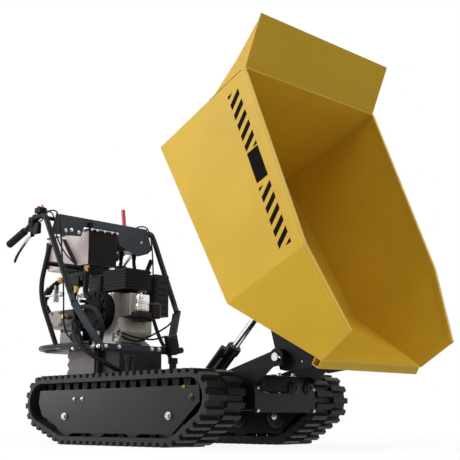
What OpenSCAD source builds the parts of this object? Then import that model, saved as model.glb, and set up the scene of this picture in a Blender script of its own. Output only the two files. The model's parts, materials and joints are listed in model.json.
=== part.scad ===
// Tracked power carrier with a hydraulic tipping skip, drawn with the skip tipped.
// Millimetres. +X is the tipping direction, +Y the machine's left side, +Z up.
// The ground is Z = 0 and the origin is the middle of the footprint box.

/* [Tracks] */
// Distance between the centre lines of the two belts
track_gauge = 570; // [540:1:640]
// Width of one rubber belt
belt_w = 180; // [170:1:200]
// Thickness of the belt without its lugs
belt_t = 16; // [12:1:20]
// Height of the tread lugs
lug_h = 16; // [8:1:20]
// Number of tread lugs in one row
lug_count = 58; // [40:1:70]
// Number of guide lugs in one row
guide_count = 38; // [24:1:44]
// Height of the guide lugs on the inner face
guide_h = 28; // [16:1:32]
// Drive sprocket axle, distance behind the track centre
rear_axle_x = 454; // [420:1:480]
// Drive sprocket axle height
rear_axle_z = 166; // [150:1:180]
// Belt radius round the drive sprocket
rear_r = 76; // [66:1:84]
// Front idler axle, distance ahead of the track centre
front_axle_x = 462; // [440:1:490]
// Front idler axle height
front_axle_z = 173; // [160:1:185]
// Belt radius round the front idler
front_r = 69; // [60:1:76]
// Radius of the bottom rollers
roller_r = 78; // [70:1:82]
// First roller axle, distance behind the track centre
roller_back = 292; // [280:1:300]
// Distance between roller axles
roller_step = 212; // [190:1:214]
// Radius of the fixed axles of rollers and idlers
axle_r = 12; // [8:0.5:15]

/* [Chassis] */
// Height of the underside of the rails
rail_z = 130; // [120:1:145]
// Height of the rails
rail_h = 60; // [40:1:70]
// Width of one rail
rail_w = 50; // [30:1:60]
// Outer face of the rails from the middle
rail_out = 146; // [120:1:160]
// Front face of the chassis plate
nose_x = 575; // [570:1:590]
// Half width of the front plate
nose_half = 162; // [150:1:185]
// Plate thickness of the chassis
plate_t = 8; // [4:0.5:12]
// Height of the engine deck
deck_z = 395; // [380:1:400]
// Front edge of the engine deck, behind the track centre
deck_front = 262; // [258:1:290]
// Rear edge of the engine deck, behind the track centre
deck_rear = 770; // [700:1:800]

/* [Skip] */
// Tip pivot ahead of the track centre
pivot_x = 669; // [640:1:690]
// Tip pivot height
pivot_z = 311; // [300:1:320]
// Tip angle drawn here
tip_deg = 60; // [0:1:60]
// Radius of the pivot pins
pin_r = 12.5; // [8:0.5:15]
// Flat length of the floor
floor_len = 730; // [650:1:740]
// Start of the ramp, behind the pivot
ramp_back = 170; // [150:1:190]
// Underside of the floor above the pivot
floor_up = 50; // [45:1:70]
// Lip ahead of the pivot
lip_x = 181; // [150:1:200]
// Lip height above the pivot
lip_up = 250; // [220:1:270]
// Rim height above the pivot at the back
rim_rear_up = 552; // [500:1:580]
// How far the rear wall leans forward
rear_lean = 71; // [40:1:90]
// Rim height above the pivot at the front
rim_front_up = 404; // [370:1:430]
// Half width of the floor
floor_half = 351; // [320:1:352]
// Half width of the rim at the back
rim_half = 372; // [360:1:372]
// Half width at the lip
lip_half = 275; // [250:1:300]
// Sheet thickness of the skip
sheet = 4; // [2.5:0.5:6]
// Length of the spill guard
guard_len = 194; // [150:1:220]
// Backward lean of the spill guard from upright
guard_deg = 36; // [20:1:45]
// Side of the square lip tube
lip_tube = 30; // [20:1:40]

/* [Tipping cylinder] */
// Base pin ahead of the track centre
base_x = 35; // [25:1:50]
// Base pin height
base_z = 120; // [110:1:135]
// Base pin to the top of the gland
barrel_len = 378; // [360:1:380]
// Outer radius of the barrel
barrel_r = 25; // [22:0.5:28]
// Radius of the bore
bore_r = 20; // [16:0.5:21]
// Radius of the chrome rod
rod_r = 14; // [10:0.5:15]
// Rod pin behind the pivot with the skip lowered
rod_back = 301; // [295:1:305]
// Rod pin above the pivot with the skip lowered
rod_up = 28; // [26:1:29]
// Base pin to rod pin with the cylinder closed
closed_len = 398.6; // [395:0.1:402]

/* [Operator station] */
// Radius of the handlebar tube
bar_r = 13; // [10:0.5:16]
// Radius of the rubber grips
grip_r = 18; // [15:0.5:20]
// Width of the control panel at its foot
panel_w = 578; // [520:1:580]
// Oil tank length
tank_len = 325; // [260:1:330]
// Oil tank width
tank_w = 160; // [120:1:180]
// Oil tank height
tank_h = 155; // [120:1:160]

/* [Hidden] */
$fn = 48;
// clearance between a pin and its bore
fit = 0.05;
// clearance between parts that pass each other
gap = 0.3;
track_mid = track_gauge / 2;
track_in = track_mid - belt_w / 2;
track_out = track_mid + belt_w / 2;
belt_all = belt_t + lug_h;
roller_z = belt_all + roller_r;
roller_x = [for (i = [0:3]) -roller_back + i * roller_step];
frame_in = track_in + 5;
frame_t = 8;
cover_t = 3;
cover_y = track_out - 16;
hub_half = cover_y - track_mid - 4;
wheel_half = 18;
rear_x = -rear_axle_x;
front_x = front_axle_x;
rail_top = rail_z + rail_h;
rail_in = rail_out - rail_w;
arm_in = rail_out;
arm_out = arm_in + plate_t;
deck_top = deck_z + plate_t;

// side profile of the skip, lowered, from the pivot
p_rear = [-ramp_back - floor_len, floor_up];
p_bend = [-ramp_back, floor_up];
p_lip = [lip_x, lip_up];
p_back = [p_rear[0] + rear_lean, rim_rear_up];
p_front = [lip_x - 7, rim_front_up];
fold_k = 0.705;
p_fold = p_back + (p_front - p_back) * fold_k;
ramp_deg = atan2(p_lip[1] - p_bend[1], p_lip[0] - p_bend[0]);
wall_deg = atan2(p_back[1] - p_rear[1], p_back[0] - p_rear[0]);
side_k = (rim_half - floor_half) / (rim_rear_up - floor_up);
function main_y(p) = floor_half + side_k * (p[1] - floor_up);
fold_b = [p_bend[0], main_y(p_bend), p_bend[1]];
fold_c = [p_fold[0], main_y(p_fold), p_fold[1]];
fold_l = [p_lip[0], lip_half, p_lip[1]];
wing_n = cross(fold_c - fold_b, fold_l - fold_b);
function wing_y(p) = fold_b[1]
  - (wing_n[0] * (p[0] - fold_b[0]) + wing_n[2] * (p[1] - fold_b[2])) / wing_n[1];
guard_dir = [-sin(guard_deg), cos(guard_deg)];
p_guard = p_back + guard_len * guard_dir;
rim_lip_w = 3;

// handlebar tube, from its post plate to the end of the grip
post_bend = [-362, 290, 585];
bar_pts = [post_bend, [-551, 306, 946], [-578, 306, 992], [-645, 304, 992], [-715, 301.5, 952],
           [-868, 303, 897]];
grip_d = (bar_pts[5] - bar_pts[4]) / norm(bar_pts[5] - bar_pts[4]);
grip_a = bar_pts[4] + 32 * grip_d;
grip_b = bar_pts[5];
grip_cap = 5;

// footprint middle, from the tipped front rim corner and the grip ends
front_reach = pivot_x + p_front[0] * cos(tip_deg) + p_front[1] * sin(tip_deg);
rear_reach = grip_b[0] + grip_cap * grip_d[0] - grip_r * sqrt(1 - grip_d[0] * grip_d[0]);
origin_x = (front_reach + rear_reach) / 2;

// tipping cylinder in the drawn pose
rod_pin = [pivot_x - rod_back * cos(tip_deg) + rod_up * sin(tip_deg),
           pivot_z + rod_back * sin(tip_deg) + rod_up * cos(tip_deg)];
cyl_deg = atan2(rod_pin[1] - base_z, rod_pin[0] - base_x);
cyl_len = norm(rod_pin - [base_x, base_z]);

// colours
black = [0.10, 0.10, 0.11];
steel = [0.62, 0.63, 0.64];
alloy = [0.72, 0.72, 0.70];
rubber = [0.08, 0.08, 0.08];
yellow = [0.90, 0.68, 0.12];
slate = [0.15, 0.17, 0.20];
red = [0.75, 0.10, 0.12];
soot = [0.16, 0.14, 0.13];
pinkish = [0.70, 0.67, 0.66];

// helpers
module in_frame() { translate([-origin_x, 0, 0]) children(); }
module tipped() { translate([pivot_x, 0, pivot_z]) rotate([0, tip_deg, 0]) children(); }
module on_cylinder() { translate([base_x, 0, base_z]) rotate([0, 90 - cyl_deg, 0]) children(); }
module flip() { mirror([0, 1, 0]) children(); }
module both() {
  children();
  flip() children();
}
module block(x0, x1, y0, y1, z0, z1) { translate([x0, y0, z0]) cube([x1 - x0, y1 - y0, z1 - z0]); }
module y_bar(x, z, y0, y1, r) { translate([x, y1, z]) rotate([90, 0, 0]) cylinder(h = y1 - y0, r = r); }
module x_bar(y, z, x0, x1, r) { translate([x0, y, z]) rotate([0, 90, 0]) cylinder(h = x1 - x0, r = r); }
module z_bar(x, y, z0, z1, r) { translate([x, y, z0]) cylinder(h = z1 - z0, r = r); }
module slab(pts, y0, y1) {
  translate([0, y1, 0]) rotate([90, 0, 0]) linear_extrude(height = y1 - y0) polygon(pts);
}
module bar_to(p, q, r) {
  d = q - p;
  translate(p) rotate([0, acos(d[2] / norm(d)), atan2(d[1], d[0])]) cylinder(h = norm(d), r = r);
}

// round bars swept along a route
function unit(v) = v / norm(v);
function leg(p, i, j, r) = p[i] + unit(p[j] - p[i]) * min(r, 0.48 * norm(p[j] - p[i]));
function bend(a, b, c, t) = (1 - t) * (1 - t) * a + 2 * t * (1 - t) * b + t * t * c;
function rounded(p, r, n) = [p[0],
  for (i = [1:len(p) - 2]) for (k = [0:n]) bend(leg(p, i, i - 1, r), p[i], leg(p, i, i + 1, r), k / n),
  p[len(p) - 1]];
function along(p, i) = i == 0 ? unit(p[1] - p[0])
  : i == len(p) - 1 ? unit(p[i] - p[i - 1])
  : unit(unit(p[i + 1] - p[i]) + unit(p[i] - p[i - 1]));
function first_side(t) = abs(t[2]) < 0.9 ? unit(cross(t, [0, 0, 1])) : unit(cross(t, [1, 0, 0]));
function carried(n, t) = unit(n - (n * t) * t);
function sides_of(p, i, n) = i == len(p) ? []
  : let (m = carried(n, along(p, i))) concat([m], sides_of(p, i + 1, m));
module sweep(p, r, k) {
  n = sides_of(p, 0, first_side(along(p, 0)));
  pts = [for (i = [0:len(p) - 1]) for (j = [0:k - 1])
    p[i] + r * (cos(360 * j / k) * n[i] + sin(360 * j / k) * cross(along(p, i), n[i]))];
  last = (len(p) - 1) * k;
  skin = [for (i = [0:len(p) - 2]) for (j = [0:k - 1]) for (f = [0:1])
    let (a = i * k + j, b = i * k + (j + 1) % k) f == 0 ? [a, a + k, b + k] : [a, b + k, b]];
  ends = [[for (j = [0:k - 1]) j], [for (j = [k - 1:-1:0]) last + j]];
  polyhedron(points = pts, faces = concat(skin, ends));
}
module hose(p, r, bend_r) { sweep(rounded(p, bend_r, 5), r, 8); }
module pipe(p, r, bend_r) { sweep(rounded(p, bend_r, 6), r, 12); }

// belt loop round the sprocket, the end rollers and the idler
loop_c = [[rear_x, rear_axle_z], [roller_x[0], roller_z], [roller_x[3], roller_z], [front_x, front_axle_z]];
loop_r = [rear_r, roller_r, roller_r, front_r];
function line_deg(i) = let (j = (i + 1) % 4, d = loop_c[j] - loop_c[i])
  atan2(d[1], d[0]) - acos((loop_r[i] - loop_r[j]) / norm(d));
top_deg = line_deg(3) > 0 ? line_deg(3) : line_deg(3) + 360;
arc_end = [line_deg(0), line_deg(1), line_deg(2), top_deg];
arc_start = [top_deg - 360, arc_end[0], arc_end[1], arc_end[2]];
function run(i) = let (j = (i + 1) % 4)
  sqrt(pow(norm(loop_c[j] - loop_c[i]), 2) - pow(loop_r[i] - loop_r[j], 2));
function seg_len(k, o) = let (i = floor(k / 2))
  k % 2 == 1 ? run(i) : (loop_r[i] + o) * (arc_end[i] - arc_start[i]) * PI / 180;
function loop_len(o) = seg_len(0, o) + seg_len(1, o) + seg_len(2, o) + seg_len(3, o)
  + seg_len(4, o) + seg_len(5, o) + seg_len(6, o) + seg_len(7, o);
function locate(s, k, o) = k == 7 || s <= seg_len(k, o) ? [k, s] : locate(s - seg_len(k, o), k + 1, o);
function loop_pt(s, o, h) = let (total = loop_len(o),
  q = locate((s + total) % total, 0, o),
  i = floor(q[0] / 2),
  a = q[0] % 2 == 0 ? arc_start[i] + q[1] / (loop_r[i] + o) * 180 / PI : arc_end[i],
  t = q[0] % 2 == 0 ? 0 : q[1])
  loop_c[i] + (loop_r[i] + o + h) * [cos(a), sin(a)] + t * [-sin(a), cos(a)];
function loop_poly(o) = [for (i = [0:3])
  let (n = ceil((arc_end[i] - arc_start[i]) / 5))
  for (k = [0:n])
    let (a = arc_start[i] + (arc_end[i] - arc_start[i]) * k / n)
    loop_c[i] + (loop_r[i] + o) * [cos(a), sin(a)]];
function toothed(n, phase, o, root, crest, h) = let (pitch = loop_len(o) / n)
  [for (k = [0:n - 1]) for (e = [[-root / 2, 0], [-crest / 2, h], [crest / 2, h], [root / 2, 0]])
    loop_pt((k + phase) * pitch + e[0], o, e[1])];
lug_root = 24;
lug_crest = 17;
lug_split = 8;
guide_root = 40;
guide_crest = 30;
module tread_row(phase, y0, y1) {
  translate([0, y1, 0]) rotate([90, 0, 0]) linear_extrude(height = y1 - y0) difference() {
    polygon(toothed(lug_count, phase, belt_t, lug_root, lug_crest, lug_h));
    polygon(loop_poly(0));
  }
}
module guide_row(y0, y1) {
  translate([0, y1, 0]) rotate([90, 0, 0]) linear_extrude(height = y1 - y0) difference() {
    polygon(loop_poly(belt_t / 2));
    polygon(toothed(guide_count, 0, 0, guide_root, guide_crest, -guide_h));
  }
}
module plain_row(y0, y1) {
  translate([0, y1, 0]) rotate([90, 0, 0]) linear_extrude(height = y1 - y0) difference() {
    polygon(loop_poly(belt_t));
    polygon(loop_poly(0));
  }
}
guide_in = wheel_half + 6;
guide_out = guide_in + 18;
module track_belt() {
  color(rubber) {
    tread_row(0.25, track_in, track_mid - lug_split / 2);
    plain_row(track_mid - lug_split / 2, track_mid + lug_split / 2);
    tread_row(0.75, track_mid + lug_split / 2, track_out);
    guide_row(track_mid + guide_in, track_mid + guide_out);
    guide_row(track_mid - guide_out, track_mid - guide_in);
  }
}
module track_belt_left() { in_frame() track_belt(); }
module track_belt_right() { in_frame() flip() track_belt(); }

// side plates of a track: the belt clears them all round
plate_top = rear_axle_z + rear_r - guide_h;
plate_low = belt_all + 13;
plate_pts = [[rear_x - 20, plate_top], [rear_x - 28, rear_axle_z], [rear_x - 2, 115],
             [roller_x[0] + 4, plate_low], [roller_x[3] + 16, plate_low],
             [front_x + 42, front_axle_z - 14], [front_x + 38, plate_top]];
shaft_r = 16;
module track_frame() {
  color(black) difference() {
    union() {
      slab(plate_pts, frame_in, frame_in + frame_t);
      for (x = roller_x) y_bar(x, roller_z, frame_in + frame_t, frame_in + frame_t + 6, axle_r + 8);
    }
    for (x = roller_x) y_bar(x, roller_z, frame_in - 1, frame_in + 20, axle_r + fit);
    y_bar(front_x, front_axle_z, frame_in - 1, frame_in + 20, axle_r + fit);
    y_bar(rear_x, rear_axle_z, frame_in - 1, frame_in + 20, shaft_r + fit);
  }
}
module track_frame_left() { in_frame() track_frame(); }
module track_frame_right() { in_frame() flip() track_frame(); }

cover_bolt = [[roller_x[0] + 64, 178], [roller_x[0] + 117, 178]];
module track_cover() {
  color(black) difference() {
    slab(plate_pts, cover_y, cover_y + cover_t);
    for (x = [roller_x[0], roller_x[3]]) y_bar(x, roller_z, cover_y - 1, cover_y + 5, axle_r + fit);
    y_bar(front_x, front_axle_z, cover_y - 1, cover_y + 5, axle_r + fit);
  }
}
module track_cover_left() { in_frame() track_cover(); }
module track_cover_right() { in_frame() flip() track_cover(); }

// axles of the rollers and idlers, pins of the tip pivot and of the cylinder base
pin_head_r = pin_r + 2;
ear_in = 29;
ear_t = 8;
module axles_and_pins() {
  in_frame() color(steel) {
    both() {
      for (x = [roller_x[0], roller_x[3]]) y_bar(x, roller_z, frame_in, cover_y + cover_t, axle_r);
      for (x = [roller_x[1], roller_x[2]]) y_bar(x, roller_z, frame_in, cover_y, axle_r);
      y_bar(front_x, front_axle_z, frame_in, cover_y + cover_t, axle_r);
      y_bar(pivot_x, pivot_z, boss_in - 4, arm_out, pin_r);
      y_bar(pivot_x, pivot_z, arm_out, arm_out + 8, pin_head_r);
    }
    y_bar(base_x, base_z, -ear_in - ear_t - 3, ear_in + ear_t + 3, base_pin_r);
  }
}

module sprocket() {
  teeth = 12;
  tip = rear_r - gap;
  pts = [for (k = [0:teeth - 1]) for (e = [[-0.5, 14], [-0.22, 14], [-0.12, 0], [0.12, 0], [0.22, 14]])
    (tip - e[1]) * [cos((k + e[0]) * 360 / teeth), sin((k + e[0]) * 360 / teeth)]];
  color(steel) union() {
    translate([rear_x, track_mid + wheel_half, rear_axle_z]) rotate([90, 0, 0])
      linear_extrude(height = 2 * wheel_half) polygon(pts);
    y_bar(rear_x, rear_axle_z, track_mid - hub_half + 10, track_mid + hub_half, 28);
    y_bar(rear_x, rear_axle_z, 100, track_mid, shaft_r);
  }
}
module sprocket_left() { in_frame() sprocket(); }
module sprocket_right() { in_frame() flip() sprocket(); }

module idler() {
  color(steel) difference() {
    union() {
      y_bar(front_x, front_axle_z, track_mid - wheel_half, track_mid + wheel_half, front_r - gap);
      y_bar(front_x, front_axle_z, frame_in + frame_t + 1, track_mid + hub_half, 30);
    }
    y_bar(front_x, front_axle_z, frame_in, cover_y, axle_r + fit);
  }
}
module idler_left() { in_frame() idler(); }
module idler_right() { in_frame() flip() idler(); }

module roller(i) {
  color(steel) difference() {
    union() {
      y_bar(roller_x[i], roller_z, track_mid + guide_out + 3, track_mid + hub_half, roller_r - gap);
      y_bar(roller_x[i], roller_z, track_mid - hub_half, track_mid - guide_out - 3, roller_r - gap);
      y_bar(roller_x[i], roller_z, frame_in + frame_t + 6.5, track_mid + hub_half, 28);
    }
    y_bar(roller_x[i], roller_z, frame_in, cover_y, axle_r + fit);
    y_bar(roller_x[i], roller_z, track_mid + hub_half - 8, cover_y, roller_r - 16);
  }
}
module roller_left_1() { in_frame() roller(0); }
module roller_left_2() { in_frame() roller(1); }
module roller_left_3() { in_frame() roller(2); }
module roller_left_4() { in_frame() roller(3); }
module roller_right_1() { in_frame() flip() roller(0); }
module roller_right_2() { in_frame() flip() roller(1); }
module roller_right_3() { in_frame() flip() roller(2); }
module roller_right_4() { in_frame() flip() roller(3); }

// welded chassis: rails, cross beams, front plate, cylinder ears, rest posts
rail_rear = -390;
beam_w = 50;
beam_x = [rail_rear, -60, 290];
rest_x = -190;
rest_y = 120;
rest_r = 16;
pad_h = 25;
pad_top = pivot_z + floor_up - 2;
module chassis_frame() {
  in_frame() color(black) difference() {
    union() {
      both() block(rail_rear, nose_x - plate_t, rail_in, rail_out, rail_z, rail_top);
      for (x = beam_x) block(x, x + beam_w, -frame_in, frame_in, rail_z, rail_top - 12);
      block(nose_x - plate_t, nose_x, -nose_half, nose_half, rail_z - 8, rail_top);
      both() block(nose_x - plate_t, nose_x, nose_half - 22, nose_half, rail_top - 1, rail_top + 26);
      block(nose_x - plate_t, nose_x, 14, rail_out - 2, rail_top - 1, rail_top + 38);
      block(430, nose_x - plate_t + 1, -rail_in - 1, rail_in + 1, rail_top - 8, rail_top);
      both() block(beam_x[1] + beam_w - 1, base_x + 26, ear_in, ear_in + ear_t, base_z - 30, base_z + 30);
      both() z_bar(rest_x, rest_y, rail_top - 1, pad_top - pad_h, rest_r);
    }
    y_bar(base_x, base_z, -ear_in - ear_t - 1, ear_in + ear_t + 1, base_pin_r + fit);
  }
}
module rest_pads() {
  in_frame() color(rubber) both() z_bar(rest_x, rest_y, pad_top - pad_h, pad_top, rest_r + 6);
}
module front_buffers() {
  in_frame() color(rubber) for (y = [40, 122]) difference() {
    x_bar(y, rail_top + 22, nose_x, nose_x + 14, 18);
    x_bar(y, rail_top + 22, nose_x - 1, nose_x + 15, 6);
  }
}

// arms that carry the tip pivot
arm_x = beam_x[2] + beam_w;
arm_pts = [[arm_x, rail_z + 5], [nose_x - plate_t - 1, rail_z + 5], [nose_x - plate_t - 1, rail_top + 28],
           [pivot_x - 20, pivot_z - 34], [pivot_x + 6, pivot_z - 30], [pivot_x + 6, pivot_z + 30],
           [pivot_x - 24, pivot_z + 20], [arm_x, rail_top + 60]];
module pivot_arms() {
  in_frame() color(black) both() difference() {
    union() {
      slab(arm_pts, arm_in, arm_out);
      y_bar(pivot_x, pivot_z, arm_in, arm_out, 31);
    }
    y_bar(pivot_x, pivot_z, arm_in - 1, arm_out + 1, pin_r + fit);
  }
}

// engine deck on its pedestal, with a slot for the drive belt
deck_half = 205;
tail_half = 150;
deck_step = -600;
wall = 6;
leg_y = rail_in + 14;
post_w = 46;
post_t = 8;
post_foot = [-deck_front - wall - post_w / 2 - 4, deck_half - 12, deck_top];
slot_x = [-540, -378];
slot_y = [64, 108];
module deck_post() {
  d = post_bend - post_foot;
  tilt = atan2(d[1], d[2]);
  lean = atan2(d[0], d[2] / cos(tilt));
  translate(post_foot) difference() {
    rotate([-tilt, 0, 0]) rotate([0, lean, 0]) translate([-post_w / 2, -post_t / 2, -post_w])
      cube([post_w, post_t, norm(d) + post_w]);
    translate([-2 * post_w, -post_w, -2 * post_w]) cube([4 * post_w, 2 * post_w, 2 * post_w]);
  }
}
module engine_deck() {
  in_frame() color(slate) {
    difference() {
      union() {
        block(deck_step, -deck_front, -deck_half, deck_half, deck_z, deck_top);
        block(-deck_rear, deck_step + 1, -tail_half, tail_half, deck_z, deck_top);
        block(-deck_front - wall, -deck_front, -deck_half, deck_half, deck_z - 16, deck_top + 8);
        both() block(rail_rear, -deck_front, leg_y, leg_y + wall, rail_top, deck_z + 1);
        block(-deck_front - wall, -deck_front, -leg_y - 1, leg_y + 1, rail_top + 20, deck_z + 1);
      }
      block(slot_x[0], slot_x[1], slot_y[0], slot_y[1], deck_z - 1, deck_top + 1);
    }
  }
}

// gearbox hung behind the last cross beam, with its output bosses
gear_x = [-560, rail_rear];
gear_y = [-135, 60];
input_x = -490;
input_z = 310;
input_r = 12;
module gearbox() {
  in_frame() color(alloy) difference() {
    union() {
      block(gear_x[0], gear_x[1], gear_y[0], gear_y[1], 118, deck_z);
      y_bar(rear_x, rear_axle_z, gear_y[1] - 1, frame_in, 34);
      y_bar(rear_x, rear_axle_z, -frame_in, gear_y[0] + 1, 34);
      y_bar(input_x, input_z, gear_y[1] - 1, gear_y[1] + 6, 26);
      slab([[-600, 300], [-585, 318], [-600, 336], [-585, 354], [-600, 372], [-590, deck_z],
        [gear_x[1] - 10, deck_z], [gear_x[1] - 10, 210], [-570, 210]], gear_y[0] - 10, gear_y[0] + 1);
    }
    y_bar(rear_x, rear_axle_z, 99, frame_in + 1, shaft_r + fit);
    y_bar(rear_x, rear_axle_z, -frame_in - 1, -99, shaft_r + fit);
    y_bar(rear_x, rear_axle_z, 50, 100, shaft_r + 6);
    y_bar(rear_x, rear_axle_z, -110, -98, shaft_r + 6);
    y_bar(input_x, input_z, 20, gear_y[1] + 7, input_r + fit);
  }
}
// belt drive between the engine and the gearbox
crank_x = -400;
crank_z = 560;
crank_r = 11;
pulley_y = [72, 96];
drive_r = 38;
driven_r = 62;
flange_t = 5;
flange_h = 6;
module pulley(x, z, r, shaft, hub_y) {
  y_bar(x, z, pulley_y[0], pulley_y[0] + flange_t, r + flange_h);
  y_bar(x, z, pulley_y[0], pulley_y[1], r);
  y_bar(x, z, pulley_y[1] - flange_t, pulley_y[1], r + flange_h);
  y_bar(x, z, hub_y, pulley_y[0] + 1, shaft);
}
module engine_pulley() { in_frame() color(steel) pulley(crank_x, crank_z, drive_r, crank_r, 10); }
module gearbox_pulley() { in_frame() color(steel) pulley(input_x, input_z, driven_r, input_r, 22); }
belt_d = [input_x - crank_x, input_z - crank_z];
belt_a = atan2(belt_d[1], belt_d[0]);
belt_b = acos((drive_r - driven_r) / norm(belt_d));
function belt_pts(o) = concat(
  [for (k = [0:16]) let (a = belt_a + belt_b + (360 - 2 * belt_b) * k / 16)
    [crank_x, crank_z] + (drive_r + o) * [cos(a), sin(a)]],
  [for (k = [0:16]) let (a = belt_a - belt_b + 2 * belt_b * k / 16)
    [input_x, input_z] + (driven_r + o) * [cos(a), sin(a)]]);
module drive_belt() {
  in_frame() color(rubber) translate([0, pulley_y[1] - flange_t - 1, 0]) rotate([90, 0, 0])
    linear_extrude(height = pulley_y[1] - pulley_y[0] - 2 * flange_t - 2) difference() {
      polygon(belt_pts(9));
      polygon(belt_pts(1));
    }
}

// engine: crankcase, finned cylinder, fan shroud, ribbed tank, silencer, intake
case_x = [-470, -330];
case_y = [-105, 58];
case_top = 640;
foot_w = 30;
foot_out = 22;
foot_h = 22;
module crankcase() {
  in_frame() color(alloy) difference() {
    union() {
      block(case_x[0], case_x[1], case_y[0], case_y[1], deck_top + 10, case_top);
      slab([[case_x[1] - 1, deck_top + 20], [case_x[1] + 30, deck_top + 20], [case_x[1] + 46, 470],
            [case_x[1] + 30, 530], [case_x[1] - 1, 534]], case_y[0] + 10, case_y[1] - 8);
      for (y = [case_y[0], case_y[1] - foot_w])
        block(case_x[0] - foot_out, case_x[1] + foot_out, y, y + foot_w, deck_top, deck_top + foot_h);
      y_bar(case_x[1] + 14, 490, case_y[0] + 2, case_y[0] + 12, 30);
    }
    y_bar(crank_x, crank_z, 9, case_y[1] + 1, crank_r + fit);
  }
}
fin_y = [-60, 45];
fin_z = [538, 636];
fin_step = 13;
head_x = -262;
module engine_cylinder() {
  in_frame() color(alloy) {
    block(case_x[1], head_x, fin_y[0] + 15, fin_y[1] - 15, fin_z[0] + 12, fin_z[1] - 11);
    for (k = [0:4])
      block(case_x[1] + 4 + k * fin_step, case_x[1] + 9 + k * fin_step,
        fin_y[0], fin_y[1], fin_z[0], fin_z[1]);
    block(head_x, head_x + 6, fin_y[0] + 22, fin_y[1] - 21, fin_z[0] + 20, fin_z[1] - 18);
    x_bar(fin_y[0] + 48, fin_z[0] + 50, head_x + 6, head_x + 14, 7);
  }
}
shroud_y = [-150, -105];
pull_z = 612;
pull_y = -128;
pull_x = -486;
module fan_shroud() {
  in_frame() color(black) difference() {
    union() {
      y_bar(crank_x, crank_z, shroud_y[0], shroud_y[1], 85);
      y_bar(crank_x, crank_z, shroud_y[0] - 6, shroud_y[0] + 1, 52);
      x_bar(pull_y, pull_z, pull_x, pull_x + 26, 11);
    }
    for (k = [0:11]) translate([crank_x, 0, crank_z]) rotate([0, k * 30, 0])
      translate([60, shroud_y[0] - 1, -5]) cube([18, 12, 10]);
  }
}
module starter_handle() {
  in_frame() color(black) {
    x_bar(pull_y, pull_z, pull_x - 14, pull_x - gap, 5);
    y_bar(pull_x - 16, pull_z, pull_y - 28, pull_y + 28, 8);
  }
}
fuel_x = [-412, -256];
fuel_y = [-100, 45];
fuel_z = [650, 742];
cap_xy = [-380, -30];
rib_step = 13;
neck_h = 12;
neck_r = 18;
module fuel_tank() {
  in_frame() color(black) {
    block(fuel_x[0] + 4, fuel_x[1] - 4, fuel_y[0] + 4, fuel_y[1] - 4, fuel_z[0], fuel_z[1]);
    for (k = [0:6])
      block(fuel_x[0], fuel_x[1], fuel_y[0], fuel_y[1],
        fuel_z[0] + 1 + k * rib_step, fuel_z[0] + 9 + k * rib_step);
    for (x = [-405, -350]) block(x, x + 16, -80, 30, case_top, fuel_z[0] + 1);
    z_bar(cap_xy[0], cap_xy[1], fuel_z[1] - 3, fuel_z[1] + neck_h, neck_r);
  }
}
module fuel_cap() {
  in_frame() color(black) difference() {
    z_bar(cap_xy[0], cap_xy[1], fuel_z[1] + gap, fuel_z[1] + 2 * neck_h, neck_r * 1.5);
    z_bar(cap_xy[0], cap_xy[1], fuel_z[1] - 1, fuel_z[1] + neck_h + gap, neck_r + fit);
  }
}
muffler_x = [-348, -285];
muffler_y = [92, 172];
muffler_z = [548, 735];
module muffler() {
  in_frame() color(soot) {
    block(muffler_x[0], muffler_x[1], muffler_y[0], muffler_y[1], muffler_z[0], muffler_z[1]);
    for (k = [0:5])
      block(muffler_x[1] - 1, muffler_x[1] + 4, muffler_y[0] + 8, muffler_y[1] - 8,
        muffler_z[0] + 14 + k * 28, muffler_z[0] + 30 + k * 28);
    y_bar(-309, muffler_z[0] + 54, fin_y[1], muffler_y[0] + 1, 11);
  }
}
filter_x = [-342, -284];
filter_z = [522, 584];
module air_filter() {
  in_frame() color(black) {
    block(filter_x[0], filter_x[1], 62, 88, filter_z[0], filter_z[1]);
    block(filter_x[0] + 6, filter_x[1] - 6, 60, 90, filter_z[0] + 8, filter_z[1] - 8);
    y_bar(filter_x[0] + 31, filter_z[0] + 34, fin_y[1], 61, 13);
    block(filter_x[0] + 17, filter_x[1] - 13, fin_y[1], 58, filter_z[0] + 16, filter_z[1] - 12);
  }
}

// hydraulics
pump_x = [-760, -600];
pump_y = -75;
port_y = pump_y - 8;
port_z = 546;
port_x = [-776, -560];
outlet = [-640, pump_y, 604];
module hydraulic_pump() {
  in_frame() color(pinkish) {
    block(pump_x[0], pump_x[1], pump_y - 48, pump_y + 32, port_z - 41, port_z + 42);
    block(pump_x[0] + 60, pump_x[1] - 50, pump_y - 30, pump_y + 20, deck_top, port_z - 40);
    x_bar(port_y, port_z, pump_x[1] - 1, port_x[1], 30);
    z_bar(outlet[0], outlet[1], port_z + 41, outlet[2], 15);
    x_bar(port_y, port_z, port_x[0], pump_x[0] + 1, 17);
  }
}
lever_x = -612;
lever_z = 972;
valve_x = [-632, -554];
valve_y = [118, 222];
valve_z = [880, 956];
lever_y = 170;
lever_pin_r = 6;
module control_valve() {
  in_frame() color(steel) difference() {
    union() {
      block(valve_x[0], valve_x[1], valve_y[0], valve_y[1], valve_z[0], valve_z[1]);
      for (y = [lever_y - 32, lever_y + 22])
        block(lever_x - 12, lever_x + 12, y, y + 10, valve_z[1] - 1, lever_z + 10);
    }
    y_bar(lever_x, lever_z, lever_y - 33, lever_y + 33, lever_pin_r + fit);
  }
}
module valve_lever() {
  in_frame() color(red) {
    y_bar(lever_x, lever_z, lever_y - 32, lever_y + 32, lever_pin_r);
    y_bar(lever_x, lever_z, lever_y - 21, lever_y + 21, 11);
    bar_to([lever_x, lever_y, lever_z], [lever_x - 12, lever_y, lever_z + 88], 6);
    bar_to([lever_x - 5, lever_y, lever_z + 38], [lever_x - 17, lever_y, lever_z + 124], 10);
  }
}
tank_x = -530;
tank_z = 789;
tank_y = [-100, tank_w - 100];
lid_z = tank_z + tank_h;
lid_t = 7;
lid_over = 6;
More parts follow.
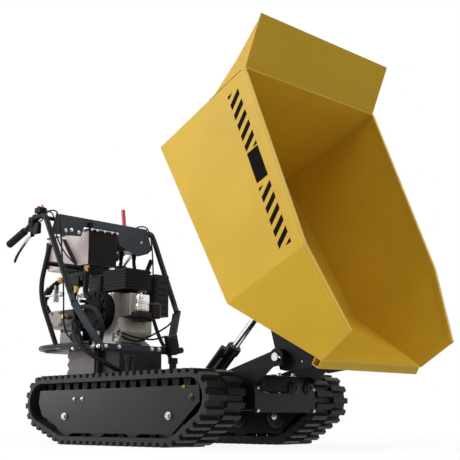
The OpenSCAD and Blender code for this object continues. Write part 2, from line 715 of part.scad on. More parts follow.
spout_xy = [-535.5, -86];
spout_h = 12;
spout_r = 7;
module oil_tank() {
  in_frame() color(pinkish) difference() {
    block(tank_x - tank_len, tank_x, tank_y[0], tank_y[1], tank_z, lid_z);
    block(tank_x - tank_len + 4, tank_x - 4, tank_y[0] + 4, tank_y[1] - 4, tank_z + 4, lid_z + 1);
  }
}
module tank_lid() {
  in_frame() color(black) {
    block(tank_x - tank_len - lid_over, tank_x + lid_over, tank_y[0] - lid_over, tank_y[1] + lid_over,
      lid_z, lid_z + lid_t);
    z_bar(spout_xy[0], spout_xy[1], lid_z + lid_t - 1, lid_z + lid_t + spout_h, spout_r);
  }
}
module tank_cap() {
  in_frame() color(black) difference() {
    union() {
      z_bar(spout_xy[0], spout_xy[1], lid_z + lid_t + gap, lid_z + lid_t + 30, spout_r + 2.5);
      z_bar(spout_xy[0], spout_xy[1], lid_z + lid_t + 18, lid_z + lid_t + 30, spout_r + 5);
    }
    z_bar(spout_xy[0], spout_xy[1], lid_z, lid_z + lid_t + spout_h + gap, spout_r + fit);
  }
}

// operator station
cross_x = -563;
cross_z = 975;
module handlebars() {
  in_frame() color(slate) {
    both() {
      pipe(bar_pts, bar_r, 24);
      deck_post();
    }
    y_bar(cross_x, cross_z, -306, 306, 9);
  }
}
module grips() {
  in_frame() color(rubber) both() difference() {
    bar_to(grip_a, grip_b + grip_cap * grip_d, grip_r);
    bar_to(grip_a - grip_cap * grip_d, grip_b + gap * grip_d, bar_r + fit);
  }
}
perch_d = unit(bar_pts[4] - bar_pts[3]);
perch_a = bar_pts[3] + 30 * perch_d;
perch_b = bar_pts[3] + 50 * perch_d;
perch_side = (perch_a + perch_b) / 2 - [0, bar_r + 7, 0];
lug_x = [-700, -676];
lug_y = [295, 309];
pinch_x = -688;
pinch_z = 918;
module lever_perches() {
  in_frame() color(black) both() difference() {
    union() {
      bar_to(perch_a, perch_b, bar_r + 7);
      block(lug_x[0], lug_x[1], lug_y[0], lug_y[1], pinch_z - 10, 956);
    }
    bar_to(perch_a - 16 * perch_d, perch_b + 24 * perch_d, bar_r + fit);
    y_bar(pinch_x, pinch_z, lug_y[0] - 1, lug_y[1] + 1, 4 + fit);
  }
}
pinch_deg = 38;
pinch_len = 168;
module clutch_lever() {
  color(steel) {
    translate([pinch_x, 0, pinch_z]) rotate([0, -pinch_deg, 0]) {
      for (y = [lug_y[0] - 5, lug_y[1] + gap]) translate([-40, y, -6]) cube([46, 5 - gap, 12]);
      translate([-pinch_len, lug_y[0] - 5, -3]) cube([pinch_len - 28, lug_y[1] - lug_y[0] + 10, 6]);
    }
    y_bar(pinch_x, pinch_z, lug_y[0] - 5, lug_y[1] + 5, 4);
  }
}
module clutch_lever_left() { in_frame() clutch_lever(); }
module clutch_lever_right() { in_frame() flip() clutch_lever(); }
box_z = [1005, 1029];
box_x = [-640, -598];
box_y = [-322, -286];
button_x = -628;
dial_x = -614;
dial_z = 1017;
module switch_box() {
  in_frame() color(black) difference() {
    block(box_x[0], box_x[1], box_y[0], box_y[1], box_z[0], box_z[1]);
    z_bar(button_x, -308, box_z[1] - 11, box_z[1] + 1, 8 + gap);
    y_bar(dial_x, dial_z, box_y[1] - 12, box_y[1] + 1, 4 + fit);
  }
}
module stop_switch() { in_frame() color(red) z_bar(button_x, -308, box_z[1] - 5, box_z[1] + 8, 8); }
module throttle_lever() {
  in_frame() color(red) {
    y_bar(dial_x, dial_z, box_y[1] - 11, box_y[1] + 2, 4);
    y_bar(dial_x, dial_z, box_y[1] + gap, box_y[1] + 6, 9);
    slab([[dial_x + 5, dial_z], [dial_x - 5, dial_z], [dial_x - 32, dial_z + 30], [dial_x - 24, dial_z + 34]],
      box_y[1] + gap, box_y[1] + 6);
  }
}
panel_x = [-554, -548];
panel_half = panel_w / 2;
panel_top = 1000;
module control_panel() {
  in_frame() color(slate) translate([panel_x[0], 0, 0]) rotate([90, 0, 90])
    linear_extrude(height = panel_x[1] - panel_x[0])
      polygon([[-panel_half, 904], [-130, 914], [tank_y[0] - 14, 960], [tank_y[1] + 14, 960], [90, 906],
        [130, 884], [205, 862], [262, 880], [panel_half, 904], [panel_half - 34, panel_top],
        [40 - panel_half, panel_top], [38 - panel_half, panel_top - 24], [34 - panel_half, panel_top - 24],
        [32 - panel_half, panel_top], [24 - panel_half, panel_top]]);
}
hoop_r = 11;
hoop_z = deck_top + hoop_r;
hoop_y = deck_half + 8;
guard_top = [-552, 291, 856];
guard_mid = [-655, 272, 655];
guard_low = [-590, hoop_y, hoop_z];
rest_bar_z = tank_z - hoop_r;
rest_k = (rest_bar_z - guard_mid[2]) / (guard_top[2] - guard_mid[2]);
rest_bar = guard_mid + (guard_top - guard_mid) * rest_k;
module rear_guard() {
  in_frame() color(black) {
    pipe([[-340, hoop_y, hoop_z], [-720, hoop_y, hoop_z], [-845, 120, hoop_z], [-845, -120, hoop_z],
      [-720, -hoop_y, hoop_z], [-340, -hoop_y, hoop_z]], hoop_r, 90);
    both() pipe([guard_low, guard_mid, guard_top], hoop_r, 90);
    y_bar(rest_bar[0], rest_bar_z, -rest_bar[1], rest_bar[1], hoop_r);
  }
}

// hoses and cables, clipped along the frame from end to end
beam_mid = beam_x[1] + beam_w / 2;
beam_top = rail_top - 12;
module hoses_and_cables() {
  in_frame() color(rubber) {
    // suction, pump to valve, and the two lines down to the tipping cylinder
    hose([[-770, -50, tank_z], [-770, -50, 735], [-838, -86, 670], [-838, port_y, port_z],
      [port_x[0], port_y, port_z]], 13, 40);
    hose([outlet, [outlet[0], outlet[1], 656], [-660, 60, 664], [-670, 150, 740], [-610, 150, 810],
      [-610, 150, valve_z[0]]], 9, 40);
    hose([[-575, 200, valve_z[0]], [-575, 200, 800], [-470, 215, 620], [-430, 240, 470], [-380, 236, 380],
      [-250, 180, 320], [-215, 70, 262], [-120, 60, 235], [beam_mid, 60, 215],
      [beam_mid, 60, beam_top]], 9, 40);
    hose([[port_x[1], port_y, port_z], [-515, port_y, port_z], [-505, -170, 490], [-430, -240, 450],
      [-350, -240, 385], [-250, -180, 320], [-215, -70, 262], [-120, -60, 235], [beam_mid, -60, 215],
      [beam_mid, -60, beam_top]], 11, 40);
    // clutch cables and the throttle cable
    both() hose([perch_side, perch_side - [0, 18, 0], [-630, 258, 1030], [-535, 262, 1010], [-505, 262, 850],
      [-490, 252, 640], [-560, 200, 480], [-565, 130, 430], [-565, 130, deck_top]], 3.5, 40);
    hose([[box_x[1], -300, 1014], [-575, -300, 1014], [-575, -262, 1000], [-588, -240, 900],
      [-520, -200, 780], [-455, -60, 700], [-455, -60, case_top]], 3, 30);
  }
}

// skip shell: folded floor, sides, rear wall and rim
function tub_pts(prof, half) = concat([for (i = [0:5]) [prof[i][0], half[i], prof[i][1]]],
  [for (i = [0:5]) [prof[i][0], -half[i], prof[i][1]]]);
tub_faces = concat([[0, 1, 4, 5], [1, 2, 3, 4], [11, 10, 7, 6], [10, 9, 8, 7]],
  [for (i = [0:5]) let (j = (i + 1) % 6) [j, i, i + 6, j + 6]]);
outer_prof = [p_rear, p_bend, p_lip, p_front, p_fold, p_back];
outer_half = [main_y(p_rear), main_y(p_bend), lip_half, wing_y(p_front), main_y(p_fold), main_y(p_back)];
over = 60;
ramp_dir = [cos(ramp_deg), sin(ramp_deg)];
ramp_up = [-sin(ramp_deg), cos(ramp_deg)];
wall_dir = [cos(wall_deg), sin(wall_deg)];
in_rear = p_rear + [sheet * 1.01 + sheet / tan(wall_deg), sheet];
in_bend = p_bend + [-sheet * tan(ramp_deg / 2), sheet];
in_lip = p_lip + sheet * ramp_up + over * ramp_dir;
in_front = p_front + over * ramp_dir + over * [0, 1];
in_fold = p_fold + over * unit(p_fold - p_bend);
in_back = p_back + [sheet * 1.01, 0] + over * wall_dir;
inner_prof = [in_rear, in_bend, in_lip, in_front, in_fold, in_back];
inner_half = [main_y(in_rear) - sheet, main_y(in_bend) - sheet, wing_y(in_lip) - sheet * 1.03,
              wing_y(in_front) - sheet * 1.03, main_y(in_fold) - sheet, main_y(in_back) - sheet];
hem_h = 14;
hem_in = 9;
hem_ring = [[rim_lip_w, 0], [rim_lip_w, -hem_h], [-hem_in, -hem_h], [-hem_in, 0]];
module hem(p, q, yp, yq) {
  polyhedron(points = concat(
      [for (e = hem_ring) [p[0], yp + e[0], p[1] + e[1]]],
      [for (e = hem_ring) [q[0], yq + e[0], q[1] + e[1]]]),
    faces = [[3, 2, 1, 0], [4, 5, 6, 7], [0, 1, 5, 4], [1, 2, 6, 5], [2, 3, 7, 6], [3, 0, 4, 7]]);
}
module skip_shell() {
  in_frame() color(yellow) tipped() union() {
    difference() {
      polyhedron(points = tub_pts(outer_prof, outer_half), faces = tub_faces);
      polyhedron(points = tub_pts(inner_prof, inner_half), faces = tub_faces);
    }
    both() hem(p_back, p_fold, main_y(p_back), main_y(p_fold));
    both() hem(p_fold, p_front, main_y(p_fold), wing_y(p_front));
  }
}
// spill guard on the outside of the rear wall, with side gussets
wall_out = [-wall_dir[1], wall_dir[0]];
guard_out = [-guard_dir[1], guard_dir[0]];
weld_gap = 0.02;
guard_root = p_back - 60 * wall_dir + weld_gap * wall_out;
guard_half = rim_half - 6;
gusset_root = p_back + 0.40 * (p_rear - p_back) + sheet * wall_out;
module spill_guard() {
  in_frame() color(yellow) tipped() {
    slab([guard_root, p_back + weld_gap * wall_out, p_guard, p_guard + sheet * guard_out,
      p_back + sheet * (wall_out + guard_out) / 2 - [1, 1], guard_root + sheet * wall_out],
      -guard_half, guard_half);
    both() slab([gusset_root + (weld_gap - sheet) * wall_out, p_back + weld_gap * wall_out, p_guard,
      p_guard + 2 * sheet * guard_out, (p_guard + gusset_root) / 2 + [8, -4]], guard_half - 14, guard_half - 10);
  }
}
module lip_bar() {
  tube_wall = 3;
  inset = 4;
  in_frame() color(yellow) tipped() translate([p_lip[0], 0, p_lip[1]]) rotate([0, -ramp_deg, 0])
    difference() {
      block(-lip_tube - inset, -inset, -lip_half + inset, lip_half - inset, -lip_tube, 0);
      block(tube_wall - lip_tube - inset, -tube_wall - inset, -lip_half, lip_half,
        tube_wall - lip_tube, -tube_wall);
    }
}
// brackets under the skip: pivot cheeks with bosses, and the slotted ears for the rod pin
boss_in = 98;
boss_out = arm_in - 3;
cheek_y = [112, 120];
cheek_top = p_bend + 360 * ramp_dir;
cheek_pts = [[-240, floor_up], p_bend, cheek_top, [110, 128], [48, -12], [30, -32],
             [-40, -16], [-112, 2], [-212, 22]];
rod_pin_r = 10;
window_x = [-rod_back - rod_pin_r - 0.6, -rod_back + 52 + rod_pin_r + 0.6];
window_z = [rod_up - 12.4 - rod_pin_r - 0.6, rod_up + 4 + rod_pin_r + 0.6];
lug_in = 30.5;
module skip_brackets() {
  in_frame() color(black) tipped() {
    both() difference() {
      union() {
        slab(cheek_pts, cheek_y[0], cheek_y[1]);
        y_bar(0, 0, boss_in, boss_out, 30);
      }
      y_bar(0, 0, boss_in - 1, boss_out + 1, pin_r + fit);
      y_bar(58, 66, cheek_y[0] - 1, cheek_y[1] + 1, 5);
    }
    both() difference() {
      slab([[window_x[0] - 24, floor_up], [window_x[0] - 14, window_z[0] - 12],
        [window_x[1] + 14, window_z[0] - 12], [window_x[1] + 24, floor_up]], lug_in, lug_in + 8);
      block(window_x[0], window_x[1], lug_in - 1, lug_in + 9, window_z[0], window_z[1]);
    }
  }
}

// tipping cylinder: barrel with its side pipe, and rod with piston, eye and cross pin
base_pin_r = 10;
side_y = -54;
side_r = 13;
gland_h = 22;
piston_h = 16;
end_gap = 10;
// the piston stops short of the gland when extended and of the bore floor when closed
piston_low = barrel_len - gland_h - piston_h - end_gap;
bore_low = piston_low - (cyl_len - closed_len) - 3;
module cylinder_barrel() {
  in_frame() color(black) on_cylinder() {
    difference() {
      union() {
        y_bar(0, 0, -ear_in + 1, ear_in - 1, 22);
        z_bar(0, 0, 10, barrel_len, barrel_r);
        z_bar(0, 0, barrel_len - 30, barrel_len - 6, barrel_r + 4);
        translate([0, side_y, 96]) cylinder(h = barrel_len - 106, r = side_r);
        for (z = [130, 320]) translate([-8, side_y, z]) cube([16, -side_y, 14]);
      }
      y_bar(0, 0, -ear_in, ear_in, base_pin_r + fit);
      z_bar(0, 0, bore_low, barrel_len - gland_h, bore_r);
      z_bar(0, 0, barrel_len - gland_h - 1, barrel_len + 1, rod_r + fit);
    }
  }
}
module cylinder_rod() {
  in_frame() color(steel) on_cylinder() {
    z_bar(0, 0, piston_low, piston_low + piston_h, bore_r - fit);
    z_bar(0, 0, piston_low, cyl_len, rod_r);
    y_bar(0, cyl_len, -lug_in + 2, lug_in - 2, 15);
    y_bar(0, cyl_len, -lug_in - 12, lug_in + 12, rod_pin_r);
  }
}

// bolts and washers
module y_bolt(x, z, y, r, h) {
  y_bar(x, z, y, y + h * 0.35, r * 1.45);
  y_bar(x, z, y + h * 0.35, y + h, r);
}
module fasteners() {
  in_frame() color(steel) {
    both() {
      for (x = [roller_x[0], roller_x[3]]) y_bolt(x, roller_z, cover_y + cover_t, 10, 11);
      for (p = cover_bolt) y_bolt(p[0], p[1], cover_y + cover_t, 4.5, 7);
      for (x = [370, 470]) y_bolt(x, rail_z + 35, arm_out, 9, 9);
      x_bar(nose_half - 11, rail_z - 2, nose_x, nose_x + 7, 5.5);
      x_bar(nose_half - 11, rail_top + 16, nose_x, nose_x + 7, 4.5);
      x_bar(panel_half - 70, 930, panel_x[1], panel_x[1] + 5, 6);
      z_bar(-350, deck_half - 20, deck_top, deck_top + 7, 8);
    }
    for (x = [450, 510]) for (y = [-40, 40]) z_bar(x, y, rail_top, rail_top + 7, 8);
    for (k = [0:4]) z_bar(tank_x - 12 - k * 75, tank_y[1] - 2, lid_z + lid_t, lid_z + lid_t + 5, 5);
    for (k = [1:4]) z_bar(tank_x - 12 - k * 75, tank_y[0] + 2, lid_z + lid_t, lid_z + lid_t + 5, 5);
    for (y = [case_y[0] + foot_w / 2, case_y[1] - foot_w / 2])
      z_bar(case_x[0] - foot_out / 2, y, deck_top + foot_h, deck_top + foot_h + 8, 7);
  }
}

chassis_frame();
pivot_arms();
engine_deck();
front_buffers();
rest_pads();
track_frame_right();
track_frame_left();
track_cover_right();
track_cover_left();
track_belt_right();
track_belt_left();
axles_and_pins();
fasteners();
sprocket_right();
sprocket_left();
idler_right();
idler_left();
roller_right_1();
roller_right_2();
roller_right_3();
roller_right_4();
roller_left_1();
roller_left_2();
roller_left_3();
roller_left_4();
gearbox();
gearbox_pulley();
engine_pulley();
drive_belt();
crankcase();
engine_cylinder();
fan_shroud();
starter_handle();
fuel_tank();
fuel_cap();
muffler();
air_filter();
hydraulic_pump();
control_valve();
valve_lever();
oil_tank();
tank_lid();
tank_cap();
control_panel();
handlebars();
rear_guard();
grips();
lever_perches();
clutch_lever_right();
clutch_lever_left();
switch_box();
stop_switch();
throttle_lever();
hoses_and_cables();
skip_shell();
spill_guard();
lip_bar();
skip_brackets();
cylinder_barrel();
cylinder_rod();
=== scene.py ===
import json
import math

import bmesh
import bpy
from mathutils import Matrix, Vector


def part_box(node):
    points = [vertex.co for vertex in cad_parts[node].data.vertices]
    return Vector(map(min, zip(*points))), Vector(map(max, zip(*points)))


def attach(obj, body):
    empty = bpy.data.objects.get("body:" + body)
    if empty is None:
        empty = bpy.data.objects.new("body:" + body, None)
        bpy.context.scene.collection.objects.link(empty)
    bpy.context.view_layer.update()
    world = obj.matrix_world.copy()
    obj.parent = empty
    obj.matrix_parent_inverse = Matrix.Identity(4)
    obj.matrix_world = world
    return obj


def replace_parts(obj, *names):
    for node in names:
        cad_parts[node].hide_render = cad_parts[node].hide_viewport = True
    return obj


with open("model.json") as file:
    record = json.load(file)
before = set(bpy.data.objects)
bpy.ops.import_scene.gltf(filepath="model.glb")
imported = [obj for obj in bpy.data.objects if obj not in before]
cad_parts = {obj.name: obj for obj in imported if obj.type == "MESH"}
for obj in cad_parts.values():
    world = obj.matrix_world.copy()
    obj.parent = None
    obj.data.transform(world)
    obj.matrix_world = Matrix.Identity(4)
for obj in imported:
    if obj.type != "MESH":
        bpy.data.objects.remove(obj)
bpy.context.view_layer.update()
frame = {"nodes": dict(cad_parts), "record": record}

# The machine's own frame: mm, X forward from the middle of the tracks, Y left, Z up
MM = 0.001
ORIGIN_X = 113.539
PIVOT = Vector((669.0, 0.0, 311.0))
TIP = math.radians(60.0)
FORWARD = Vector((1, 0, 0))
BACK = Vector((-1, 0, 0))
RIGHT = Vector((0, -1, 0))
LEFT = Vector((0, 1, 0))
UP = Vector((0, 0, 1))
DOWN = Vector((0, 0, -1))
SIDES = ((-1, "right"), (1, "left"))


def row(x, y, z):
    """A point of the machine in the row frame."""
    return Vector(((x - ORIGIN_X) * MM, y * MM, z * MM))


def tipped(x, y, z):
    """A point of the lowered skip, in mm from the tip pivot, in the row frame at rest."""
    c = math.cos(TIP)
    s = math.sin(TIP)
    return row(PIVOT.x + x * c + z * s, y, PIVOT.z - x * s + z * c)


def corners(node):
    """The lowest and highest corners of a CAD node at rest, in mm of the machine."""
    shift = Vector((ORIGIN_X, 0.0, 0.0))
    low, high = (Vector(p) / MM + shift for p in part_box(node))
    return low, high


def middle_of(node):
    """The middle of a CAD node's box at rest, in mm of the machine."""
    return sum(corners(node), Vector()) / 2


def mirrored(point, side):
    """A point of the left side, or its mirror image on the right."""
    return Vector((point[0], point[1] * side, point[2]))


# Builders of materials
def add(t, kind, **values):
    """A new shader node with constant values on its sockets."""
    n = t.nodes.new("ShaderNode" + kind)
    for name, value in values.items():
        n.inputs[name.replace("_", " ")].default_value = value
    return n


def mottle(t, b, place, dark, light, scale):
    """Blotches between a darker and a lighter tone."""
    noise = add(t, "TexNoise", Scale=scale * 0.25, Detail=5.0, Roughness=0.65)
    t.links.new(place, noise.inputs["Vector"])
    ramp = add(t, "ValToRGB")
    low, high = ramp.color_ramp.elements
    low.position = 0.3
    low.color = (*dark, 1.0)
    high.position = 0.7
    high.color = (*light, 1.0)
    t.links.new(noise.outputs["Fac"], ramp.inputs["Fac"])
    t.links.new(ramp.outputs["Color"], b.inputs["Base Color"])


def grain(t, b, place, rough, scale, streak):
    """Fine noise that makes the gloss uneven; streak stretches it along an axis."""
    noise = add(t, "TexNoise", Scale=scale * 8.0, Detail=3.0)
    if streak:
        stretch = add(t, "Mapping", Scale=streak)
        t.links.new(place, stretch.inputs["Vector"])
        place = stretch.outputs["Vector"]
    t.links.new(place, noise.inputs["Vector"])
    gloss = add(t, "MapRange", To_Min=max(0.02, rough - 0.1), To_Max=min(1.0, rough + 0.1))
    t.links.new(noise.outputs["Fac"], gloss.inputs["Value"])
    t.links.new(gloss.outputs["Result"], b.inputs["Roughness"])
    return noise.outputs["Fac"]


def recolor(t, b, mask, color):
    """Lets another colour through where a mask is set."""
    mixed = t.nodes.new("ShaderNodeMix")
    mixed.data_type = "RGBA"
    mixed.inputs["B"].default_value = (*color, 1.0)
    t.links.new(mask, mixed.inputs["Factor"])
    t.links.new(b.inputs["Base Color"].links[0].from_socket, mixed.inputs["A"])
    t.links.new(mixed.outputs["Result"], b.inputs["Base Color"])


def painted_edge_highlight(t, b, rounded_normal, color):
    """A painted highlight: a lighter colour where the rounded normal leaves the flat one, along the
    edges.
    """
    flat = add(t, "NewGeometry")
    match = add(t, "VectorMath")
    match.operation = "DOT_PRODUCT"
    t.links.new(rounded_normal, match.inputs[0])
    t.links.new(flat.outputs["Normal"], match.inputs[1])
    mask = add(t, "MapRange", From_Min=0.995, From_Max=0.93)
    t.links.new(match.outputs["Value"], mask.inputs["Value"])
    recolor(t, b, mask.outputs["Result"], color)


def shader(name, color, rough=0.5, metal=0.0, vary=0.12, scale=30.0, bump=0.05, bevel=0.0015,
           dirt=None, coat=0.0, streak=None, shine=0.5, edge=None):
    """A procedural finish: mottled colour, uneven gloss, fine bump, softened edges with a painted
    highlight along them.
    """
    m = bpy.data.materials.new(name)
    m.use_nodes = True
    t = m.node_tree
    b = t.nodes["Principled BSDF"]
    b.inputs["Metallic"].default_value = metal
    b.inputs["Coat Weight"].default_value = coat
    b.inputs["Specular IOR Level"].default_value = shine
    place = add(t, "TexCoord").outputs["Object"]
    dark = [max(0.0, c * (1.0 - vary)) for c in color]
    light = [min(1.0, c * (1.0 + vary)) for c in color]
    if dirt:
        dark = [c * (1.0 - vary * 2) + d * vary * 2 for c, d in zip(color, dirt)]
    mottle(t, b, place, dark, light, scale)
    fine = grain(t, b, place, rough, scale, streak)
    relief = add(t, "Bump", Strength=bump, Distance=0.001)
    t.links.new(fine, relief.inputs["Height"])
    t.links.new(relief.outputs["Normal"], b.inputs["Normal"])
    if bevel:
        soft = add(t, "Bevel", Radius=bevel)
        soft.samples = 4
        t.links.new(soft.outputs["Normal"], relief.inputs["Normal"])
    # The edge colour is a painted highlight, lighter than the finish, along every edge
    if edge:
        painted_edge_highlight(t, b, soft.outputs["Normal"], edge)
    return m


def two_tone(name, first, second, output, axis, limit):
    """A copy of a finish that takes a second colour where a normal or a place passes a limit."""
    m = first.copy()
    m.name = name
    t = m.node_tree
    xyz = add(t, "SeparateXYZ")
    t.links.new(add(t, "TexCoord").outputs[output], xyz.inputs["Vector"])
    past = add(t, "Math")
    past.operation = "GREATER_THAN"
    past.inputs[1].default_value = limit
    t.links.new(xyz.outputs[axis], past.inputs[0])
    recolor(t, t.nodes["Principled BSDF"], past.outputs["Value"], second)
    return m


# Paints
BLACK = shader("black_paint", (0.009, 0.009, 0.010), 0.32, vary=0.3, shine=0.2,
               edge=(0.05, 0.05, 0.052))
SLATE = shader("slate_paint", (0.040, 0.051, 0.066), 0.38, vary=0.25, shine=0.22,
               edge=(0.07, 0.08, 0.095))
YELLOW = shader("yellow_paint", (0.70, 0.44, 0.030), 0.45, vary=0.06, bevel=0.003, scale=14,
                shine=0.16, edge=(0.92, 0.72, 0.25))
# A lighter yellow for strips of painted highlight on the skip's rims
RIM = shader("rim_yellow", (0.90, 0.62, 0.11), 0.4, vary=0.06, bevel=0.0, scale=14, shine=0.3)
TIPPER = shader("tipper_black", (0.008, 0.006, 0.0065), 0.42, vary=0.25, shine=0.1,
                edge=(0.03, 0.026, 0.027))
SOOT = shader("muffler_black", (0.022, 0.019, 0.017), 0.55, metal=0.2, vary=0.3, bump=0.3, shine=0.15)
LOW_SLATE = shader("low_slate", (0.016, 0.019, 0.024), 0.42, vary=0.25, shine=0.12,
                   edge=(0.04, 0.045, 0.055))
# The engine deck is darker below 0.388 m than above
DECK = two_tone("deck_darker_below", LOW_SLATE, (0.045, 0.057, 0.074), "Object", "Z", 0.388)
BAR_SLATE = shader("bar_slate", (0.042, 0.053, 0.069), 0.45, vary=0.25, shine=0.1,
                   edge=(0.06, 0.07, 0.085))
BARS = two_tone("bar_paint", BAR_SLATE, (0.007, 0.008, 0.009), "Object", "Z", 0.62)
# Black for the stripes and plate, and for the painted shade in the guard's gap
DECAL_AND_GAP_SHADE = shader("stripe_and_gap_shade_black", (0.005, 0.004, 0.003), 0.7, vary=0.25, bevel=0.0, shine=0.04)

# Metals
STEEL = shader("steel", (0.50, 0.50, 0.51), 0.38, metal=0.9, vary=0.12, streak=(1, 1, 8))
BOLT = shader("bolt_steel", (0.46, 0.46, 0.47), 0.24, metal=0.95, vary=0.3, scale=120, bump=0.3)
ZINC = shader("zinc", (0.72, 0.72, 0.73), 0.34, metal=0.75, vary=0.1)
CHROME = shader("chrome", (0.80, 0.80, 0.82), 0.2, metal=1.0, vary=0.05, bump=0.0, scale=4,
                bevel=0.0)
ALLOY = shader("alloy", (0.42, 0.41, 0.39), 0.45, metal=0.25, vary=0.15, bump=0.25,
               edge=(0.62, 0.61, 0.59))
GREYISH = shader("grey_metal", (0.50, 0.43, 0.42), 0.42, metal=0.25, vary=0.1, shine=0.1)
# The oil tank is near-black on faces turned forward and grey on all others: the grey is a painted
# reflection of the bright surroundings
TANK = two_tone("tank_painted_reflection", GREYISH, (0.012, 0.011, 0.011), "Normal", "X", 0.5)
PUMP = shader("pump_alloy", (0.20, 0.165, 0.155), 0.45, metal=0.5, vary=0.15, bump=0.2)
PLATE = shader("plate_metal", (0.15, 0.122, 0.116), 0.45, metal=0.4, vary=0.15, bump=0.1)
GEAR = shader("gearbox_grey", (0.10, 0.086, 0.082), 0.55, metal=0.3, vary=0.2, bump=0.3)
SILVER = shader("silver", (0.84, 0.84, 0.85), 0.35, metal=0.35, vary=0.08)
# The silver lever is near-black on faces turned forward, its lower side: a painted dark reflection
LEVER = two_tone("lever_silver", SILVER, (0.02, 0.02, 0.021), "Normal", "X", 0.56)
BRIGHT = shader("bright_alloy", (0.78, 0.74, 0.66), 0.28, metal=0.7, vary=0.1, bump=0.1)
BRASS = shader("brass", (0.62, 0.36, 0.12), 0.35, metal=0.85, vary=0.12)

# Rubber and plastic
RUBBER = shader("belt_rubber", (0.011, 0.011, 0.0115), 0.5, vary=0.25, bump=0.3, scale=60,
                dirt=(0.03, 0.029, 0.027), shine=0.2, edge=(0.03, 0.03, 0.03))
HOSE = shader("hose_rubber", (0.009, 0.009, 0.010), 0.5, vary=0.3, bump=0.3, scale=90, shine=0.1)
PLASTIC = shader("black_plastic", (0.008, 0.008, 0.009), 0.42, vary=0.25, bump=0.15, scale=80,
                 shine=0.1, edge=(0.05, 0.05, 0.052))
SHROUD = shader("shroud_plastic", (0.006, 0.006, 0.007), 0.6, vary=0.2, bump=0.1, shine=0.06)
RED = shader("red_plastic", (0.50, 0.018, 0.028), 0.3, vary=0.12, coat=0.3)

# Finish of each CAD node: its own one where named, or that of its slot
BY_SLOT = {"black_paint": BLACK, "slate_paint": SLATE, "yellow_paint": YELLOW, "steel": STEEL,
           "chrome": CHROME, "alloy": ALLOY, "grey_metal": GREYISH, "belt_rubber": RUBBER,
           "black_plastic": PLASTIC, "red_plastic": RED}
BY_NODE = {"gearbox": GEAR, "hydraulic_pump": PUMP, "muffler": SOOT, "fasteners": BOLT,
           "hoses_and_cables": HOSE, "grips": HOSE, "oil_tank": TANK, "fan_shroud": SHROUD,
           "handlebars": BARS, "pivot_arms": TIPPER, "skip_brackets": TIPPER,
           "engine_deck": DECK}
SLOT_OF = {s["node"]: s["material_slot"] for s in frame["record"]["subparts"]}
for name, o in frame["nodes"].items():
    o.data.materials.clear()
    o.data.materials.append(BY_NODE.get(name, BY_SLOT[SLOT_OF[name]]))


# Builders of shapes, each a list of row-frame vertices and a list of faces, from sizes in mm
def skin(rings, sides):
    """Faces over rings of vertices, with both ends capped."""
    faces = []
    for i in range(rings - 1):
        for k in range(sides):
            n = (k + 1) % sides
            faces.append((i * sides + k, i * sides + n, (i + 1) * sides + n, (i + 1) * sides + k))
    last = (rings - 1) * sides
    faces.append(tuple(range(sides)))
    faces.append(tuple(range(last, last + sides)))
    return faces


def ring(middle, a, b, r, sides):
    """Points round a middle in the plane of two directions."""
    turns = [2 * math.pi * k / sides for k in range(sides)]
    return [row(*(middle + (a * math.cos(g) + b * math.sin(g)) * r)) for g in turns]


def turned(start, direction, profile, sides):
    """A turned shape; profile is (distance along, radius)."""
    d = Vector(direction).normalized()
    a = d.orthogonal().normalized()
    b = d.cross(a)
    verts = []
    for t, r in profile:
        verts += ring(Vector(start) + d * t, a, b, r, sides)
    return verts, skin(len(profile), sides)


def block(x0, x1, y0, y1, z0, z1, round_off=4.0, turn=0.0):
    """A rounded block; turn tilts it about the X axis through its middle, in degrees."""
    bm = bmesh.new()
    bmesh.ops.create_cube(bm, size=1.0)
    bmesh.ops.scale(bm, vec=(x1 - x0, y1 - y0, z1 - z0), verts=bm.verts)
    bmesh.ops.bevel(bm, geom=bm.edges[:], offset=round_off, segments=3, profile=0.5, affect="EDGES")
    tilt = Matrix.Rotation(math.radians(turn), 3, "X")
    bmesh.ops.rotate(bm, cent=(0, 0, 0), matrix=tilt, verts=bm.verts)
    middle = Vector(((x0 + x1) / 2, (y0 + y1) / 2, (z0 + z1) / 2))
    verts = [row(*(v.co + middle)) for v in bm.verts]
    bm.verts.index_update()
    faces = [tuple(v.index for v in f.verts) for f in bm.faces]
    bm.free()
    return verts, faces


def prism(low, high):
    """A solid between two outlines of equal length, in the row frame."""
    n = len(low)
    faces = [tuple(range(n)), tuple(range(n, 2 * n))]
    faces += [(k, (k + 1) % n, n + (k + 1) % n, n + k) for k in range(n)]
    return low + high, faces


def spline(points, steps=8):
    """A smooth route through the points."""
    pts = [Vector(q) for q in points]
    pts = [2 * pts[0] - pts[1]] + pts + [2 * pts[-1] - pts[-2]]
    out = []
    for i in range(1, len(pts) - 2):
        a, b, c, d = pts[i - 1:i + 3]
        for k in range(steps):
            t = k / steps
            square = (2 * a - 5 * b + 4 * c - d) * t ** 2
            cube = (3 * b - a - 3 * c + d) * t ** 3
            out.append(0.5 * (2 * b + (c - a) * t + square + cube))
    return out + [pts[-2]]


def rounded(points, reach=120.0, steps=10, share=0.48):
    """A route with rounded corners; reach and share limit how far from a corner its curve starts."""
    pts = [Vector(q) for q in points]
    out = [pts[0]]
    for a, b, c in zip(pts, pts[1:], pts[2:]):
        start = b + (a - b).normalized() * min(reach, share * (a - b).length)
        end = b + (c - b).normalized() * min(reach, share * (c - b).length)
        for k in range(steps + 1):
            t = k / steps
            out.append(start * (1 - t) ** 2 + b * 2 * t * (1 - t) + end * t ** 2)
    return out + [pts[-1]]


def even(path, step):
    """Points at even distances along a route."""
    out = [path[0]]
    at = step
    for a, b in zip(path, path[1:]):
        length = (b - a).length
        while at < length:
            out.append(a.lerp(b, at / length))
            at += step
        at -= length
    if (path[-1] - out[-1]).length > 0.1:
        out.append(path[-1])
    return out


